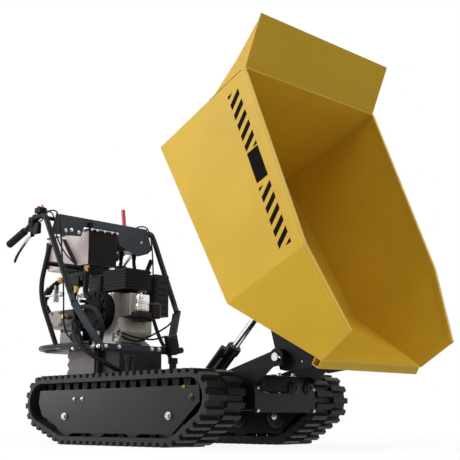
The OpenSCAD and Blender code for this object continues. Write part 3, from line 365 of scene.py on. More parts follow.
def tube(path, r, sides=12, flat=1.0, taper=1.0, rib=0.0):
    """A tube along a route; flat squeezes it, taper is the end radius over the first, rib waves it."""
    ahead = (path[1] - path[0]).normalized()
    side = LEFT if abs(ahead.y) < 0.9 else UP
    verts = []
    for i, q in enumerate(path):
        ahead = (path[min(i + 1, len(path) - 1)] - path[max(i - 1, 0)]).normalized()
        side = (side - ahead * side.dot(ahead)).normalized()
        size = r * (1 + (taper - 1) * i / (len(path) - 1))
        size *= 1 - rib * (i // 2 % 2)
        verts += ring(q, side, ahead.cross(side) * flat, size, sides)
    return verts, skin(len(path), sides)


def joined(parts):
    """Several shapes as one."""
    verts = []
    faces = []
    for v, f in parts:
        k = len(verts)
        verts += v
        faces += [tuple(i + k for i in g) for g in f]
    return verts, faces


def piece(name, parts, material, body="chassis", angle=40.0):
    """A smooth-shaded object made of shapes, with one finish, on a body."""
    verts, faces = joined(parts)
    me = bpy.data.meshes.new(name)
    me.from_pydata([tuple(v) for v in verts], [], faces)
    bm = bmesh.new()
    bm.from_mesh(me)
    bmesh.ops.recalc_face_normals(bm, faces=bm.faces)
    bm.to_mesh(me)
    bm.free()
    me.materials.append(material)
    for poly in me.polygons:
        poly.use_smooth = True
    me.set_sharp_from_angle(angle=math.radians(angle))
    o = bpy.data.objects.new(name, me)
    bpy.context.scene.collection.objects.link(o)
    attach(o, body)
    return o


# Small hardware, and the radius and height of the usual bolt heads
SMALL_BOLT = (4.0, 6.0)
MIDDLE_BOLT = (5.0, 7.0)
LARGE_BOLT = (6.0, 8.0)


def bolt(start, direction, r, h):
    """A hexagon head on a washer."""
    washer = [(0.0, r * 1.5), (h * 0.22, r * 1.5), (h * 0.25, r * 1.4)]
    head = [(h * 0.2, r), (h * 0.9, r), (h, r * 0.85)]
    return joined([turned(start, direction, washer, 20), turned(start, direction, head, 6)])


def nut(start, direction, r):
    """The hexagon nut of a hose end."""
    profile = [(0.0, r * 1.25), (1.5, r * 1.45), (11.5, r * 1.45), (13.0, r * 1.25)]
    return turned(start, direction, profile, 6)


def sleeve(start, direction, r):
    """The crimped sleeve that holds a hose."""
    profile = [(0.0, r), (0.1, r * 1.22), (2.5, r * 1.28), (5.5, r * 1.16), (8.5, r * 1.28),
               (11.5, r * 1.16), (14.5, r * 1.28), (17.5, r * 1.2), (18.5, r * 0.95)]
    return turned(start, direction, profile, 20)


def fitting(start, direction, r):
    """A straight hose end: nut and sleeve."""
    past_nut = Vector(start) + Vector(direction) * 12.5
    return joined([nut(start, direction, r), sleeve(past_nut, direction, r)])


# Boxes of the CAD nodes that the added pieces are fitted to
TANK0, TANK1 = corners("oil_tank")
LID0, LID1 = corners("tank_lid")
PUMP0, PUMP1 = corners("hydraulic_pump")
VALVE0 = corners("control_valve")[0]
CASE0, CASE1 = corners("crankcase")
HEAD0, HEAD1 = corners("engine_cylinder")
FUEL0, FUEL1 = corners("fuel_tank")
DECK0, DECK1 = corners("engine_deck")
GEAR0 = corners("gearbox")[0]
PANEL1 = corners("control_panel")[1]
FRAME1 = corners("chassis_frame")[1]
ARM0, ARM1 = corners("pivot_arms")
COVER1 = corners("track_cover_left")[1]

# Ports of the hydraulics
PORT_Y = -83.0
PORT_Z = 546.0
TANK_OUTLET = Vector((-770.0, -50.0, TANK0.z))
PUMP_REAR = Vector((PUMP0.x, PORT_Y, PORT_Z))
PUMP_FRONT = Vector((PUMP1.x, PORT_Y, PORT_Z))
PUMP_TOP = Vector((-640.0, -75.0, PUMP1.z))
VALVE_INLET = Vector((-610.0, 150.0, VALVE0.z))
VALVE_OUTLET = Vector((-575.0, 200.0, VALVE0.z))
BEAM_PORT = Vector((-35.0, 60.0, 178.0))
SUCTION_R = 13.0
PRESSURE_R = 9.0
RETURN_R = 11.0

# Operator station
BAR_BEND = Vector((-715.0, 301.5, 952.0))
BAR_END = Vector((-868.0, 303.0, 897.0))
LEVER_Y = 302.0


def ribbed_grips():
    """Rubber grips with a collar and fifteen ribs."""
    profile = [(32.0, 13.2), (32.0, 17.5), (33.0, 18.0), (37.0, 18.0), (38.0, 16.6)]
    for k in range(15):
        t = 40.0 + 8.0 * k
        profile += [(t, 16.4), (t + 1.2, 17.8), (t + 4.8, 17.8), (t + 6.0, 16.4)]
    profile += [(162.0, 17.8), (165.5, 17.4), (167.3, 15.0), (167.5, 0.5)]
    parts = []
    for side, _ in SIDES:
        start = mirrored(BAR_BEND, side)
        parts.append(turned(start, mirrored(BAR_END, side) - start, profile, 28))
    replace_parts(piece("ribbed_grips", parts, HOSE), "grips")


def clutch_levers():
    """Curved flat levers with a ball end, and the clamps that hold them on the bars."""
    ball_end = [(0, 1), (2, 5), (6, 7), (10, 7), (14, 5), (16, 1)]
    for side, word in SIDES:
        y = LEVER_Y * side
        route = [(-684, y, 920), (-714, y, 906), (-758, y, 875), (-801, y, 838), (-820, y, 811)]
        blade = tube(spline(route), 12.5, 20, flat=0.6, taper=0.65)
        ball = turned((-816, y, 816), (-0.6, 0, -0.8), ball_end, 14)
        root = block(-702, -680, y - 12, y + 12, 908, 927, 3.0)
        body = "clutch_lever_" + word
        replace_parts(piece("curved_lever_" + word, [blade, ball, root], LEVER, body), body)
        collar = block(-694, -656, y - 19, y + 17, 952, 996, 6.0)
        cap = block(-668, -640, y - 15, y + 13, 978, 1004, 5.0)
        stock = block(-668, -622, y - 12, y + 10, 914, 966, 7.0)
        screw = bolt((-676, y - 19, 974), RIGHT, 4.0, 5.0)
        piece("perch_clamp_" + word, [collar, cap, stock, screw], PLASTIC)


def panel_bolts():
    """Bolts on the control panel's front."""
    places = ((-215, 929), (-183, 936), (-143, 930))
    piece("panel_bolts", [bolt((PANEL1.x, y, z), FORWARD, 6.0, 6.0) for y, z in places], ZINC)


# Hydraulics
def elbow(start, corner, after, r):
    """A bent metal hose end with nut and sleeve, and the point where the hose comes out of it."""
    first = (Vector(corner) - start).normalized()
    second = (Vector(after) - Vector(corner)).normalized()
    tip = Vector(corner) + second * 2.4 * r
    pipe = tube(rounded([start, corner, tip], 2.0 * r), 0.8 * r, 16)
    return joined([nut(start, first, r), pipe, sleeve(tip - second * 8, second, r)]), tip


def suction_hose():
    """One wide bow round the back between two bent ends, with two padded sleeves."""
    bow = (-887, -145, 662)
    pump_end, low = elbow(PUMP_REAR, PUMP_REAR + BACK * 22, bow, SUCTION_R)
    tank_end, high = elbow(TANK_OUTLET, TANK_OUTLET + DOWN * 30, bow, SUCTION_R)
    path = even(rounded([low, bow, high], 200.0, 24, 1.0), 3.0)
    n = len(path)
    pads = [path[int(n * a):int(n * b)] for a, b in ((0.07, 0.3), (0.45, 0.72))]
    hose = [tube(path, SUCTION_R, 16, rib=0.08)] + [tube(pad, SUCTION_R * 1.3, 20) for pad in pads]
    return hose, pump_end, tank_end


def pressure_hose():
    """From the top of the pump across the engine to the control valve."""
    corner = PUMP_TOP + UP * 52
    route = [(-660, 60, 664), (-670, 150, 740), (VALVE_INLET.x, VALVE_INLET.y, 810), VALVE_INLET]
    end, tip = elbow(PUMP_TOP, corner, route[0], PRESSURE_R)
    return tube(even(rounded([tip] + route), 2.5), PRESSURE_R, 14, rib=0.06), end


def cylinder_lines():
    """From the valve and the pump down both sides of the deck to the beam under the cylinder."""
    under = [(-350, 238, 385), (-250, 180, 320), (-215, 70, 262), (-120, 60, 235)]
    left = [VALVE_OUTLET, (-575, 200, 800), (-470, 215, 620), (-430, 240, 470)] + under
    corner = (PUMP_FRONT.x + 45, PORT_Y, PORT_Z)
    right = [(-505, -170, 490), (-430, -240, 450)] + [mirrored(p, -1) for p in under]
    start, tip = elbow(PUMP_FRONT, corner, right[0], RETURN_R)
    lines = []
    ends = [start]
    for route, side, r in ((left, 1, PRESSURE_R), ([tip] + right, -1, RETURN_R)):
        port = mirrored(BEAM_PORT, side)
        end, last = elbow(port, port + UP * 37, route[-1], r)
        lines.append(tube(even(rounded(route + [last]), 2.5), r, 14, rib=0.06))
        ends.append(end)
    return lines, ends


def cables():
    """Two clutch cables from the lever clamps to the deck, and the throttle cable to the engine."""
    clutch = [(-679.7, 282.8, 972.2), (-668, 262, 985), (-630, 256, 1030), (-535, 262, 1010),
              (-505, 262, 850), (-490, 252, 640), (-560, 200, 480), (-565, 130, 430),
              (-565, 130, 403)]
    throttle = [(-598, -300, 1014), (-582, -292, 1014), (-572, -262, 1000), (-588, -240, 900),
                (-520, -200, 780), (-455, -60, 700), (-455, -60, CASE1.z)]
    out = [tube(rounded([mirrored(p, side) for p in clutch]), 3.5) for side, _ in SIDES]
    return out + [tube(rounded(throttle), 3.0)]


def hoses_and_cables():
    """All flexible lines of the CAD node, with their metal ends as a piece of their own."""
    suction, pump_end, tank_end = suction_hose()
    pressure, pressure_end = pressure_hose()
    lines, line_ends = cylinder_lines()
    rubber = suction + [pressure] + lines + cables()
    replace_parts(piece("ribbed_hoses", rubber, HOSE), "hoses_and_cables")
    piece("hose_ends", [pump_end, pressure_end] + line_ends, ZINC)
    piece("tank_fitting", [tank_end], BRASS)
    valve = [fitting(port, DOWN, PRESSURE_R) for port in (VALVE_INLET, VALVE_OUTLET)]
    piece("valve_fittings", valve, PLASTIC)


def tank_straps():
    """Two flat straps on the near side of the oil tank."""
    y = TANK0.y - 10
    top = TANK1.z - 20
    low = TANK0.z + 10
    straps = []
    for x, end in ((-712, -614), (-836, -850)):
        route = [(x, y, top), ((x + end) / 2, y, (top + low) / 2), (end, y, low)]
        straps.append(tube(spline(route, 3), 13.0, 8, flat=0.16))
    piece("tank_straps", straps, BLACK, angle=30)


def lid_bolts():
    """Bolts round the edge of the tank lid."""
    z = LID0.z + 3.5
    bolts = [bolt((LID1.x, y, z), FORWARD, *SMALL_BOLT) for y in (-88, -57, -15, 26, 58)]
    bolts += [bolt((x, LID0.y, z), RIGHT, *SMALL_BOLT) for x in (-565, -639, -700, -753, -820)]
    piece("lid_bolts", bolts, ZINC)


def tank_manifold():
    """The filter and valve blocks that hang under the oil tank."""
    x = TANK0.x
    y = TANK0.y
    top = TANK0.z - 1
    carrier = block(x + 120, x + 315, y + 10, y + 130, top - 46, top, 4.0)
    spool_block = block(x + 133, x + 213, y + 8, y + 70, top - 84, top - 44, 5.0)
    relief_block = block(x + 200, x + 252, y + 4, y + 50, top - 92, top - 44, 4.0)
    end_block = block(x + 262, x + 282, y + 4, y + 40, top - 70, top - 44, 3.0)
    parts = [carrier, spool_block, relief_block, end_block]
    plug = [(0, 7), (8, 7), (9, 11), (19, 11), (20, 6), (34, 6)]
    parts += [turned((x + 150 + 34 * k, y + 24, top - 80), DOWN, plug, 12) for k in range(3)]
    parts += [bolt((x + 140 + 30 * k, y + 10, top - 20), RIGHT, *LARGE_BOLT) for k in range(5)]
    piece("tank_manifold", parts, PLASTIC)
    brass = [fitting((x + 299, y + 16, top - 2), DOWN, 12.0),
             fitting((x + 226, y + 10, top - 90), DOWN, 8.0),
             fitting((x + 120, y + 40, top - 24), BACK, 9.0)]
    piece("brass_fittings", brass, BRASS)


def pump_cover(left, stop):
    """A round-ended bolted cover on the near side of the pump."""
    y = PUMP0.y
    z = PORT_Z + 5
    r = 36.0
    outline = [(stop, z + r), (left, z + r)]
    for k in range(1, 12):
        g = math.pi * k / 12
        outline.append((left - r * math.sin(g), z + r * math.cos(g)))
    outline += [(left, z - r), (stop, z - r)]
    near = [row(u, y - 9, w) for u, w in outline]
    far = [row(u, y - 0.5, w) for u, w in outline]
    bolts = [bolt((u, y - 9, z + w), RIGHT, *MIDDLE_BOLT) for u in (left, stop - 14) for w in (-26, 26)]
    piece("pump_cover", [prism(near, far)] + bolts, PUMP)


def pump_trim():
    """The cover, a mounting plate, a valve block and an elbow on the near side of the pump."""
    y = PUMP0.y
    z = PORT_Z + 5
    low = CASE0.z + 1
    stop = PUMP0.x + 98
    pump_cover(PUMP0.x + 20, stop)
    sheet = block(stop + 10, stop + 160, y - 19, y - 12, low, low + 102, 2.0)
    foot = block(stop, stop + 52, y - 15, y + 20, low, low + 65, 5.0)
    piece("pump_plate", [sheet, foot], PLATE)
    rod = [(0, 8), (10, 8), (11, 15), (20, 15), (21, 9), (62, 9), (63, 16), (84, 16)]
    valve = block(stop + 4, PUMP1.x - 4, y - 16, y - 0.5, z - 38, z + 34, 4.0)
    gallery = block(stop + 40, PUMP1.x + 30, y - 24, y + 10, z - 70, z - 34, 6.0)
    plunger = turned((stop + 126, y - 30, z - 20), DOWN, rod, 16)
    dark = [valve, gallery, plunger]
    dark += [bolt((stop + 24 + 44 * k, y - 19, low + 87), RIGHT, *MIDDLE_BOLT) for k in range(3)]
    piece("pump_block", dark, BLACK)
    piece("pump_elbow", [fitting((stop + 62, y - 16, z), RIGHT, 8.0)], BRASS)


def tank_tap():
    """A steel tap with a flat blade handle behind the pump."""
    y = PUMP0.y + 5
    z = 665.0
    body = [(0, 6), (2, 11), (14, 11), (16, 8), (26, 8)]
    blade = [(-742, y - 2, z + 44), (-742, y - 2, z), (-743, y - 2, z - 34)]
    pipe = tube(spline([(-842, y, z + 2), (-780, y, z), (-700, y, z - 1)]), 5.0)
    handle = tube(spline(blade, 4), 13.0, 10, flat=0.3, taper=1.3)
    piece("tank_tap", [pipe, handle, turned((-716, y, z - 1), FORWARD, body, 14)], STEEL)


# Engine and drive
def air_box():
    """A ribbed black box behind the fuel tank, above the crankcase."""
    x0 = FUEL0.x - 108
    x1 = FUEL0.x - 12
    y0 = FUEL0.y - 4
    y1 = FUEL0.y + 102
    z0 = CASE1.z + 2
    case = block(x0, x1, y0, y1, z0, FUEL1.z - 24, 10.0)
    neck = block(x0 + 10, x1, y0 + 12, y1 - 40, z0 - 36, z0 + 4, 6.0)
    parts = [case, neck]
    for k in range(4):
        z = z0 + 14 + 20 * k
        parts.append(block(x0 - 2, x1 + 2, y0 - 2, y1 + 2, z, z + 4, 1.5))
    piece("air_box", parts, PLASTIC)


def loose_lines():
    """Rubber lines and thin cables round the engine, each from one fitting or hole to the next."""
    routes = ((13.0, [(-556, -84, 754), (-556, -88, 704), (-552, -92, 664), (-532, -92, 638),
                      (-494, -88, 629)]),
              (8.0, [(-629, -90, 670), (-634, -94, 640), (-644, -80, 604)]),
              (10.0, [(-560, -116, 560), (-520, -172, 570), (-440, -178, 580), (-350, -178, 556),
                      (-292, -188, 480), (-300, -192, 408)]),
              (8.0, [(-560, -110, 530), (-520, -165, 510), (-450, -186, 450), (-420, -196, 408)]),
              (4.0, [(-300, -100, 455), (-272, -20, 428), (-268, 70, 462), (-264, 150, 505),
                     (-284, 200, 540), (-292, 206, 560)]),
              (4.0, [(-300, -104, 470), (-266, -40, 446), (-262, 60, 440), (-258, 140, 458),
                     (-256, 158, 440)]))
    piece("loose_lines", [tube(spline(points), r) for r, points in routes], HOSE)


def engine_bolts():
    """Bolts round the near face of the crankcase."""
    bolts = [bolt((CASE1.x - 34, CASE0.y + 10, CASE0.z + 29 + 20 * k), RIGHT, *SMALL_BOLT)
             for k in range(5)]
    bolts += [bolt((CASE1.x - 46 - 28 * k, CASE0.y, CASE1.z - 8), RIGHT, *SMALL_BOLT) for k in range(4)]
    piece("engine_bolts", bolts, ZINC)


def engine_front():
    """A bright valve cover on its base, and a dark tray and canister under them."""
    x = HEAD1.x
    z = HEAD0.z
    hood = block(x - 14, x + 14, -42, 22, z + 50, z + 92, 6.0)
    hood_panel = block(x + 8, x + 18, -30, 12, z + 58, z + 84, 4.0)
    piece("valve_cover", [hood, hood_panel], CHROME)
    base = block(x - 14, x + 12, -42, 22, z + 18, z + 52, 5.0)
    base_panel = block(x + 6, x + 15, -34, 14, z + 24, z + 46, 3.0)
    piece("valve_base", [base, base_panel], BRIGHT)
    can = [(0, 18), (5, 25), (60, 25), (68, 18), (70, 8), (78, 8)]
    tray = block(x - 44, x + 18, -52, 32, z - 10, z + 16, 5.0)
    sump = block(x - 30, x + 6, -40, 20, z - 26, z - 8, 5.0)
    canister = turned((x + 1, 64, z - 8), UP, can, 20)
    piece("tray_and_canister", [tray, sump, canister], SOOT)


def engine_mounts():
    """A cast foot on the far side of the crankcase and a dark bracket between it and the pump."""
    x = CASE1.x
    z = CASE0.z
    boss = block(x - 46, x - 2, 36, 80, z + 49, z + 119, 6.0)
    flange = block(x - 60, x - 8, 30, 74, z, z + 20, 4.0)
    foot_bolt = bolt((x - 20, 60, z + 20), UP, *LARGE_BOLT)
    piece("crankcase_foot", [boss, flange, foot_bolt], ALLOY)
    near = -100
    bracket = [block(PUMP1.x, CASE0.x - 2, near, near + 50, z + 1, z + 97, 5.0)]
    for along, up in ((18, 40), (46, 70)):
        bracket.append(bolt((PUMP1.x + along, near, z + up), RIGHT, *LARGE_BOLT))
    piece("pump_bracket", bracket, BLACK)


def relay_box():
    """A tilted box with a raised lid on the front edge of the deck."""
    x = DECK1.x
    tilt = 14
    box = block(x + 2, x + 22, 134, 200, 376, 462, 4.0, tilt)
    lid = block(x + 18, x + 25, 142, 192, 388, 452, 2.0, tilt)
    piece("relay_box", [box, lid], PLASTIC)


def deck_tube_end():
    """The plugged end of a tube along the left edge of the deck."""
    y = DECK1.y + 9
    z = DECK1.z - 11
    profile = [(0, 12), (74, 12), (75, 13.5), (82, 13.5), (84, 11.5), (84.5, 2)]
    piece("deck_tube_end", [turned((DECK1.x - 60, y, z), FORWARD, profile, 24)], BLACK)


def grooved_belt():
    """The drive belt round both pulleys, with grooves along its outer face."""
    low, high = corners("drive_belt")
    crank = middle_of("engine_pulley")
    shaft = middle_of("gearbox_pulley")
    small = high.z - crank.z
    large = shaft.z - low.z
    across = shaft - crank
    aim = math.atan2(across.z, across.x)
    wrap = math.acos((small - large) / math.hypot(across.x, across.z))
    section = [(0.0, low.y)]
    for k in range(4):
        y = low.y + 1.5 + 3 * k
        section += [(0.0, y - 0.8), (1.4, y), (0.0, y + 0.8)]
    section += [(0.0, high.y), (7.5, high.y - 1.0), (7.5, low.y + 1.0)]
    steps = 24
    arcs = ((crank, small, aim + wrap, 2 * math.pi - 2 * wrap), (shaft, large, aim - wrap, 2 * wrap))
    verts = []
    for middle, r, start, sweep in arcs:
        for k in range(steps + 1):
            g = start + sweep * k / steps
            for depth, y in section:
                out = r - depth
                verts.append(row(middle.x + out * math.cos(g), y, middle.z + out * math.sin(g)))
    n = len(section)
    count = len(verts) // n
    faces = []
    for i in range(count):
        for k in range(n):
            a = i * n
            b = (i + 1) % count * n
            faces.append((a + k, a + (k + 1) % n, b + (k + 1) % n, b + k))
    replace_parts(piece("grooved_belt", [(verts, faces)], RUBBER), "drive_belt")


def gearbox_trim():
    """Bolts and a drain plug on the gearbox's rear face, and two bolts low on its side plate."""
    rear = GEAR0.x + 40
    plate_y = -145.0
    parts = [bolt((rear, y, z), BACK, 6.0, 7.0) for y in (-120, -40, 45) for z in (135, 370)]
    parts += [bolt((x, plate_y, 225), RIGHT, 6.0, 7.0) for x in (-550, -410)]
    parts.append(nut((rear, -40, 170), BACK, 11.0))
    piece("gearbox_bolts", parts, ZINC)


# Undercarriage
def idler_caps():
    """Flat dark caps over the ends of the idler axles, on the track covers."""
    profile = [(0.05, 15), (1.5, 15), (2.6, 13.5), (3.0, 1)]
    parts = []
    for side, word in SIDES:
        middle = middle_of("idler_" + word)
        parts.append(turned((middle.x, COVER1.y * side, middle.z), LEFT * side, profile, 28))
    piece("idler_caps", parts, BLACK)


def deck_bolts():
    """Bolts on the front and side edges of the engine deck."""
    z = DECK1.z - 12
    bolts = [bolt((DECK1.x, y, z), FORWARD, *LARGE_BOLT) for y in (-190, -120, 60, 100)]
    for x in (-290, -330, -400, -470):
        bolts.append(bolt((x, DECK0.y, z), RIGHT, 6.0, 9.0))
        bolts.append(bolt((x, DECK1.y, z), LEFT, 6.0, 9.0))
    piece("deck_bolts", bolts, ZINC)


def grease_nipples():
    """A brass nipple on each track cover, in front."""
    profile = [(0, 5.5), (3, 5.5), (3.2, 3.5), (8, 3.2), (9, 2)]
    x = COVER1.x - 80
    z = COVER1.z - 4
    parts = [turned((x, COVER1.y * side, z), LEFT * side, profile, 12) for side, _ in SIDES]
    piece("grease_nipples", parts, BRASS)


def cotter_pins():
    """Bent pins at the inner ends of the tip pivot."""
    parts = []
    for side, _ in SIDES:
        route = [(676, 158, 322), (684, 157, 312), (694, 158, 306)]
        parts.append(tube(spline([mirrored(p, side) for p in route], 4), 2.5, 8))
    piece("cotter_pins", parts, ZINC)


def front_cross_bar():
    """A bar between the pivot arms, with an end plate at each and two bolts on top."""
    x = FRAME1.x
    top = 253
    plate_y = 126
    bolts = [bolt((x - 19, y, top), UP, 7.0, 12.0) for y in (-14, 63)]
    bar = [block(x - 38, x - 1, ARM0.y + 13, ARM1.y - 13, top - 57, top, 3.0)]
    for side, _ in SIDES:
        y = plate_y * side
        bar.append(block(x - 60, x + 6, y - 8, y + 8, top - 39, top - 7, 4.0))
    piece("front_cross_bar", bar, TIPPER)
    piece("cross_bar_bolts", bolts, ZINC)


def stepped_buffers():
    """Two stepped rubber buffers with a hollow middle, on the front plate."""
    low, high = corners("front_buffers")
    r = (high.z - low.z) / 2
    z = (high.z + low.z) / 2
    profile = [(0, r * 1.4), (4, r * 1.45), (8, r * 1.3), (10, r), (13, r), (14, r * 0.92),
               (14, r * 0.34), (9, r * 0.3)]
    parts = [turned((low.x, y, z), FORWARD, profile, 28) for y in (low.y + r, high.y - r)]
    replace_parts(piece("stepped_buffers", parts, RUBBER), "front_buffers")


def ribbed_pads():
    """Two ribbed rubber pads that the lowered skip comes down to."""
    low, high = corners("rest_pads")
    r = (high.x - low.x) / 2
    h = high.z - low.z
    profile = [(0, r * 0.93), (h * 0.06, r)]
    for k in range(3):
        t = h * (0.25 + 0.24 * k)
        profile += [(t, r), (t + h * 0.04, r * 0.9), (t + h * 0.09, r * 0.9), (t + h * 0.13, r)]
    profile += [(h * 0.93, r), (h, r * 0.9), (h, r * 0.3), (h * 0.9, r * 0.26)]
    middle = (low.x + high.x) / 2
    parts = [turned((middle, y, low.z), UP, profile, 32) for y in (low.y + r, high.y - r)]
    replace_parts(piece("ribbed_pads", parts, RUBBER), "rest_pads")


def bearing_caps():
    """A dark cap with a bright hub at each roller, on the inner face of the track frames."""
    cap = [(0, 46), (3, 46), (4, 43), (4.5, 24), (9, 22), (10, 19)]
    hub = [(9, 13), (15, 13), (17, 10), (17.5, 3)]
    dark = []
    bright = []
    for side, word in SIDES:
        low, high = corners("track_frame_" + word)
        face = low.y if side > 0 else high.y
        for k in range(1, 5):
            middle = middle_of("roller_%s_%d" % (word, k))
            start = (middle.x, face, middle.z)
            dark.append(turned(start, RIGHT * side, cap, 32))
            bright.append(turned(start, RIGHT * side, hub, 20))
    piece("bearing_caps", dark, BLACK)
    piece("bearing_hubs", bright, ZINC)


# Marks on both side walls of the skip: stripes and a bare plate along the rim, strips of painted
# highlight on the rim, a line of painted shade in the guard's gap
RIM_REAR = Vector((-829.0, 552.0))
RIM_FRONT = Vector((174.0, 404.0))
RIM_FOLD = RIM_REAR.lerp(RIM_FRONT, 0.705)
RIM_ALONG = (RIM_FRONT - RIM_REAR).normalized()
RIM_DOWN = Vector((RIM_ALONG.y, -RIM_ALONG.x))
FLOOR_UP = 50.0
WALL_HALF = 351.0
RIM_HALF = 372.0
RIM_FRONT_HALF = 288.1
WALL_SLOPE = (RIM_HALF - WALL_HALF) / (RIM_REAR.y - FLOOR_UP)
STRIP_IN = 8.8
STRIP_OUT = 2.9
STRIP_STOP = 4.0
STRIP_LOW = 0.05
STRIP_HIGH = 0.4
# A dark line of painted shade in the gap at the guard: where it lies on the wall
GAP_SHADE_AT = 0.8
GAP_SHADE_WIDE = 2.0
GAP_SHADE_FROM = 3.0
GAP_SHADE_TO = 200.0
BAND_TOP = 58.0
BAND_HIGH = 56.0
BAND_DRIFT = 0.0105
STRIPE_WIDE = 23.0
STRIPE_LEAN = 34.0
REAR_FIELD = (50.0, 291.0)
FRONT_FIELD = (438.0, 678.0)
PLATE_FROM = 297.0
PLATE_TO = 418.0
PLATE_EDGE = 1.5
MARK_LOW = 0.1
STRIPE_HIGH = 0.5
PLATE_HIGH = 0.9
GAP_SHADE_HIGH = 0.3


def on_wall(u, w, out, side):
    """A point on a side wall: u along the rim from the rear, w below it, out of the sheet."""
    p = RIM_REAR + RIM_ALONG * u + RIM_DOWN * (w - BAND_DRIFT * u)
    return tipped(p.x, side * (WALL_HALF + WALL_SLOPE * (p.y - FLOOR_UP) + out), p.y)


def cut(poly, limit, sign):
    """The part of a polygon of (u, w) points on one side of a value of u."""
    out = []
    for a, b in zip(poly, poly[1:] + poly[:1]):
        inside = sign * (a[0] - limit) >= 0
        if inside:
            out.append(a)
        if inside != (sign * (b[0] - limit) >= 0):
            k = (limit - a[0]) / (b[0] - a[0])
            out.append((limit, a[1] + k * (b[1] - a[1])))
    return out


def stripes(first, pitch, u0, u1):
    """Leaning stripes at a pitch, cut off at both ends of their field."""
    low = BAND_TOP + BAND_HIGH
    polys = []
    for i in range(-1, 6):
        a = first + pitch * i
        b = a + STRIPE_LEAN
        poly = [(a, BAND_TOP), (a + STRIPE_WIDE, BAND_TOP), (b + STRIPE_WIDE, low), (b, low)]
        poly = cut(cut(poly, u0, 1), u1, -1)
        if len(poly) > 2:
            polys.append(poly)
    return polys


def box_on_wall(u0, u1, w0, w1):
    """The (u, w) corners of a box on a side wall."""
    return [(u0, w0), (u1, w0), (u1, w1), (u0, w1)]


def border(u0, u1, w0, w1, t):
    """The four bars of a thin frame."""
    return [box_on_wall(u0, u1, w0, w0 + t), box_on_wall(u0, u1, w1 - t, w1),
            box_on_wall(u0, u0 + t, w0 + t, w1 - t), box_on_wall(u1 - t, u1, w0 + t, w1 - t)]


def on_skip(name, polys, side, high):
    """Thin flat pieces on a side wall, from polygons of (u, w) points."""
    shapes = []
    for poly in polys:
        low_face = [on_wall(u, w, MARK_LOW, side) for u, w in poly]
        high_face = [on_wall(u, w, high, side) for u, w in poly]
        shapes.append(prism(low_face, high_face))
    piece(name, shapes, DECAL_AND_GAP_SHADE, "skip")


def rim_strips():
    """Bright strips on the folded rims, where the paint catches the light."""
    fold_half = WALL_HALF + WALL_SLOPE * (RIM_FOLD.y - FLOOR_UP)
    front = RIM_FRONT - RIM_ALONG * STRIP_STOP
    line = ((RIM_REAR, RIM_HALF), (RIM_FOLD, fold_half), (front, RIM_FRONT_HALF))
    parts = []
    for side, _ in SIDES:
        for (p, p_half), (q, q_half) in zip(line, line[1:]):
            edges = [(p, p_half - STRIP_IN), (p, p_half + STRIP_OUT)]
            edges += [(q, q_half + STRIP_OUT), (q, q_half - STRIP_IN)]
            low = [tipped(e.x, side * y, e.y + STRIP_LOW) for e, y in edges]
            high = [tipped(e.x, side * y, e.y + STRIP_HIGH) for e, y in edges]
            parts.append(prism(low, high))
    piece("rim_strips", parts, RIM, "skip")


def skip_marks():
    """Two fields of stripes, the plate between them and a dark line of painted shade in the guard's gap,
    on each side.
    """
    low = BAND_TOP + BAND_HIGH
    gap_shade = [box_on_wall(GAP_SHADE_AT, GAP_SHADE_AT + GAP_SHADE_WIDE, GAP_SHADE_FROM, GAP_SHADE_TO)]
    plate = [box_on_wall(PLATE_FROM, PLATE_TO, BAND_TOP, low)]
    plate += border(PLATE_FROM, PLATE_TO, BAND_TOP, low, PLATE_EDGE)
    for side, word in SIDES:
        on_skip("stripes_rear_" + word, stripes(53.0, 44.75, *REAR_FIELD), side, STRIPE_HIGH)
        on_skip("stripes_front_" + word, stripes(439.0, 44.6, *FRONT_FIELD), side, STRIPE_HIGH)
        on_skip("name_plate_" + word, plate, side, PLATE_HIGH)
        on_skip("guard_gap_shade_" + word, gap_shade, side, GAP_SHADE_HIGH)


# All added pieces
ribbed_grips()
clutch_levers()
panel_bolts()
hoses_and_cables()
tank_straps()
lid_bolts()
tank_manifold()
pump_trim()
tank_tap()
air_box()
loose_lines()
engine_bolts()
engine_front()
engine_mounts()
relay_box()
deck_tube_end()
grooved_belt()
gearbox_trim()
idler_caps()
deck_bolts()
grease_nipples()
cotter_pins()
front_cross_bar()
stepped_buffers()
ribbed_pads()
bearing_caps()
rim_strips()
skip_marks()


# Studio
LENS = 72.86
SENSOR = 36.0
EYE = (2885.0, -2563.0, 95.6)
LOOK = Vector((-0.698, 0.688, 0.200))
FLOOR_SIZE = 60.0
FLOOR_DROP = 0.0005


def camera():
    """The photograph's viewpoint, low in front of the right side."""
    data = bpy.data.cameras.new("camera")
    data.lens = LENS
    data.sensor_width = SENSOR
    eye = bpy.data.objects.new("camera", data)
    bpy.context.scene.collection.objects.link(eye)
    eye.location = row(*EYE)
    eye.rotation_euler = LOOK.to_track_quat("-Z", "Y").to_euler()
    bpy.context.scene.camera = eye
    bpy.context.scene.view_settings.view_transform = "Standard"


def looked_at(t):
    """1 for rays that show the background: to the camera, in a reflection or through glass."""
    path = add(t, "LightPath")
    seen = path.outputs["Is Camera Ray"]
    for kind in ("Is Glossy Ray", "Is Transmission Ray"):
        either = add(t, "Math")
        either.operation = "MAXIMUM"
        t.links.new(seen, either.inputs[0])
        t.links.new(path.outputs[kind], either.inputs[1])
        seen = either.outputs["Value"]
    return seen


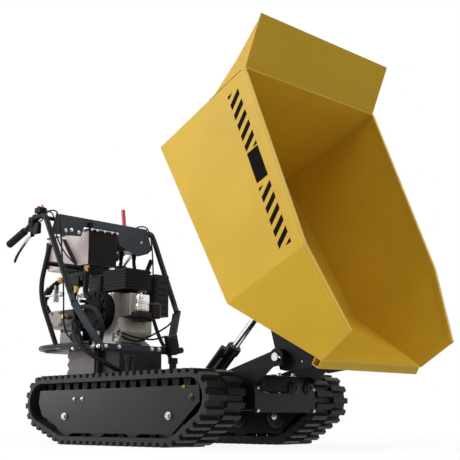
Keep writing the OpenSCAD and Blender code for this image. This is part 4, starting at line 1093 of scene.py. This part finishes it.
def floor_glow(t):
    """Mixes white light into what the floor shows, more with distance, and leaves the shadow."""
    reach = add(t, "VectorMath")
    reach.operation = "LENGTH"
    t.links.new(add(t, "TexCoord").outputs["Object"], reach.inputs[0])
    fade = add(t, "MapRange", From_Min=1.5, From_Max=5.0, To_Min=0.88, To_Max=1.0)
    t.links.new(reach.outputs["Value"], fade.inputs["Value"])
    share = add(t, "Math")
    share.operation = "MULTIPLY"
    t.links.new(looked_at(t), share.inputs[0])
    t.links.new(fade.outputs["Result"], share.inputs[1])
    white = add(t, "MixShader")
    t.links.new(share.outputs["Value"], white.inputs["Fac"])
    t.links.new(t.nodes["Principled BSDF"].outputs["BSDF"], white.inputs[1])
    t.links.new(add(t, "Emission", Strength=1.035).outputs["Emission"], white.inputs[2])
    t.links.new(white.outputs["Shader"], t.nodes["Material Output"].inputs["Surface"])


def studio_floor():
    """A wide white floor just under the belts."""
    bpy.ops.mesh.primitive_plane_add(size=FLOOR_SIZE, location=(0, 0, -FLOOR_DROP))
    floor = bpy.context.object
    floor.name = "floor"
    white = shader("floor", (0.7, 0.7, 0.7), 0.9, vary=0.01, scale=2, bump=0.0, bevel=0.0)
    floor_glow(white.node_tree)
    floor.data.materials.append(white)


def studio_world():
    """White behind the object, and a faint fill light from all sides."""
    world = bpy.data.worlds.new("studio")
    bpy.context.scene.world = world
    world.use_nodes = True
    t = world.node_tree
    t.nodes.clear()
    mix = add(t, "MixShader")
    fill = add(t, "Background", Color=(1, 1, 1, 1), Strength=0.18)
    back = add(t, "Background", Color=(1, 1, 1, 1), Strength=1.0)
    t.links.new(looked_at(t), mix.inputs["Fac"])
    t.links.new(fill.outputs["Background"], mix.inputs[1])
    t.links.new(back.outputs["Background"], mix.inputs[2])
    t.links.new(mix.outputs["Shader"], add(t, "OutputWorld").inputs["Surface"])


def softbox(name, place, aim, size, power):
    """A square studio lamp."""
    light = bpy.data.lights.new(name, "AREA")
    light.size = size
    light.energy = power
    o = bpy.data.objects.new(name, light)
    bpy.context.scene.collection.objects.link(o)
    o.location = place
    o.rotation_euler = (Vector(aim) - Vector(place)).to_track_quat("-Z", "Y").to_euler()


camera()
studio_floor()
studio_world()
softbox("key", (-3.0, -4.2, 3.0), (0.0, 0.0, 0.7), 2.2, 182)
softbox("strip", (-5.0, -3.0, 0.8), (-0.4, -0.3, 0.2), 0.9, 24)
softbox("side", (2.4, -3.6, 3.4), (0.5, 0.0, 0.7), 1.8, 22)
softbox("upper_front", (2.2, 0.8, 4.6), (0.8, 0.0, 0.4), 1.4, 66)
softbox("front", (4.2, -1.0, 1.8), (0.2, 0.0, 0.6), 2.2, 4)
softbox("top", (-0.8, 0.0, 4.5), (0.0, 0.0, 0.5), 2.6, 70)

# The scene brought up to date
bpy.context.view_layer.update()
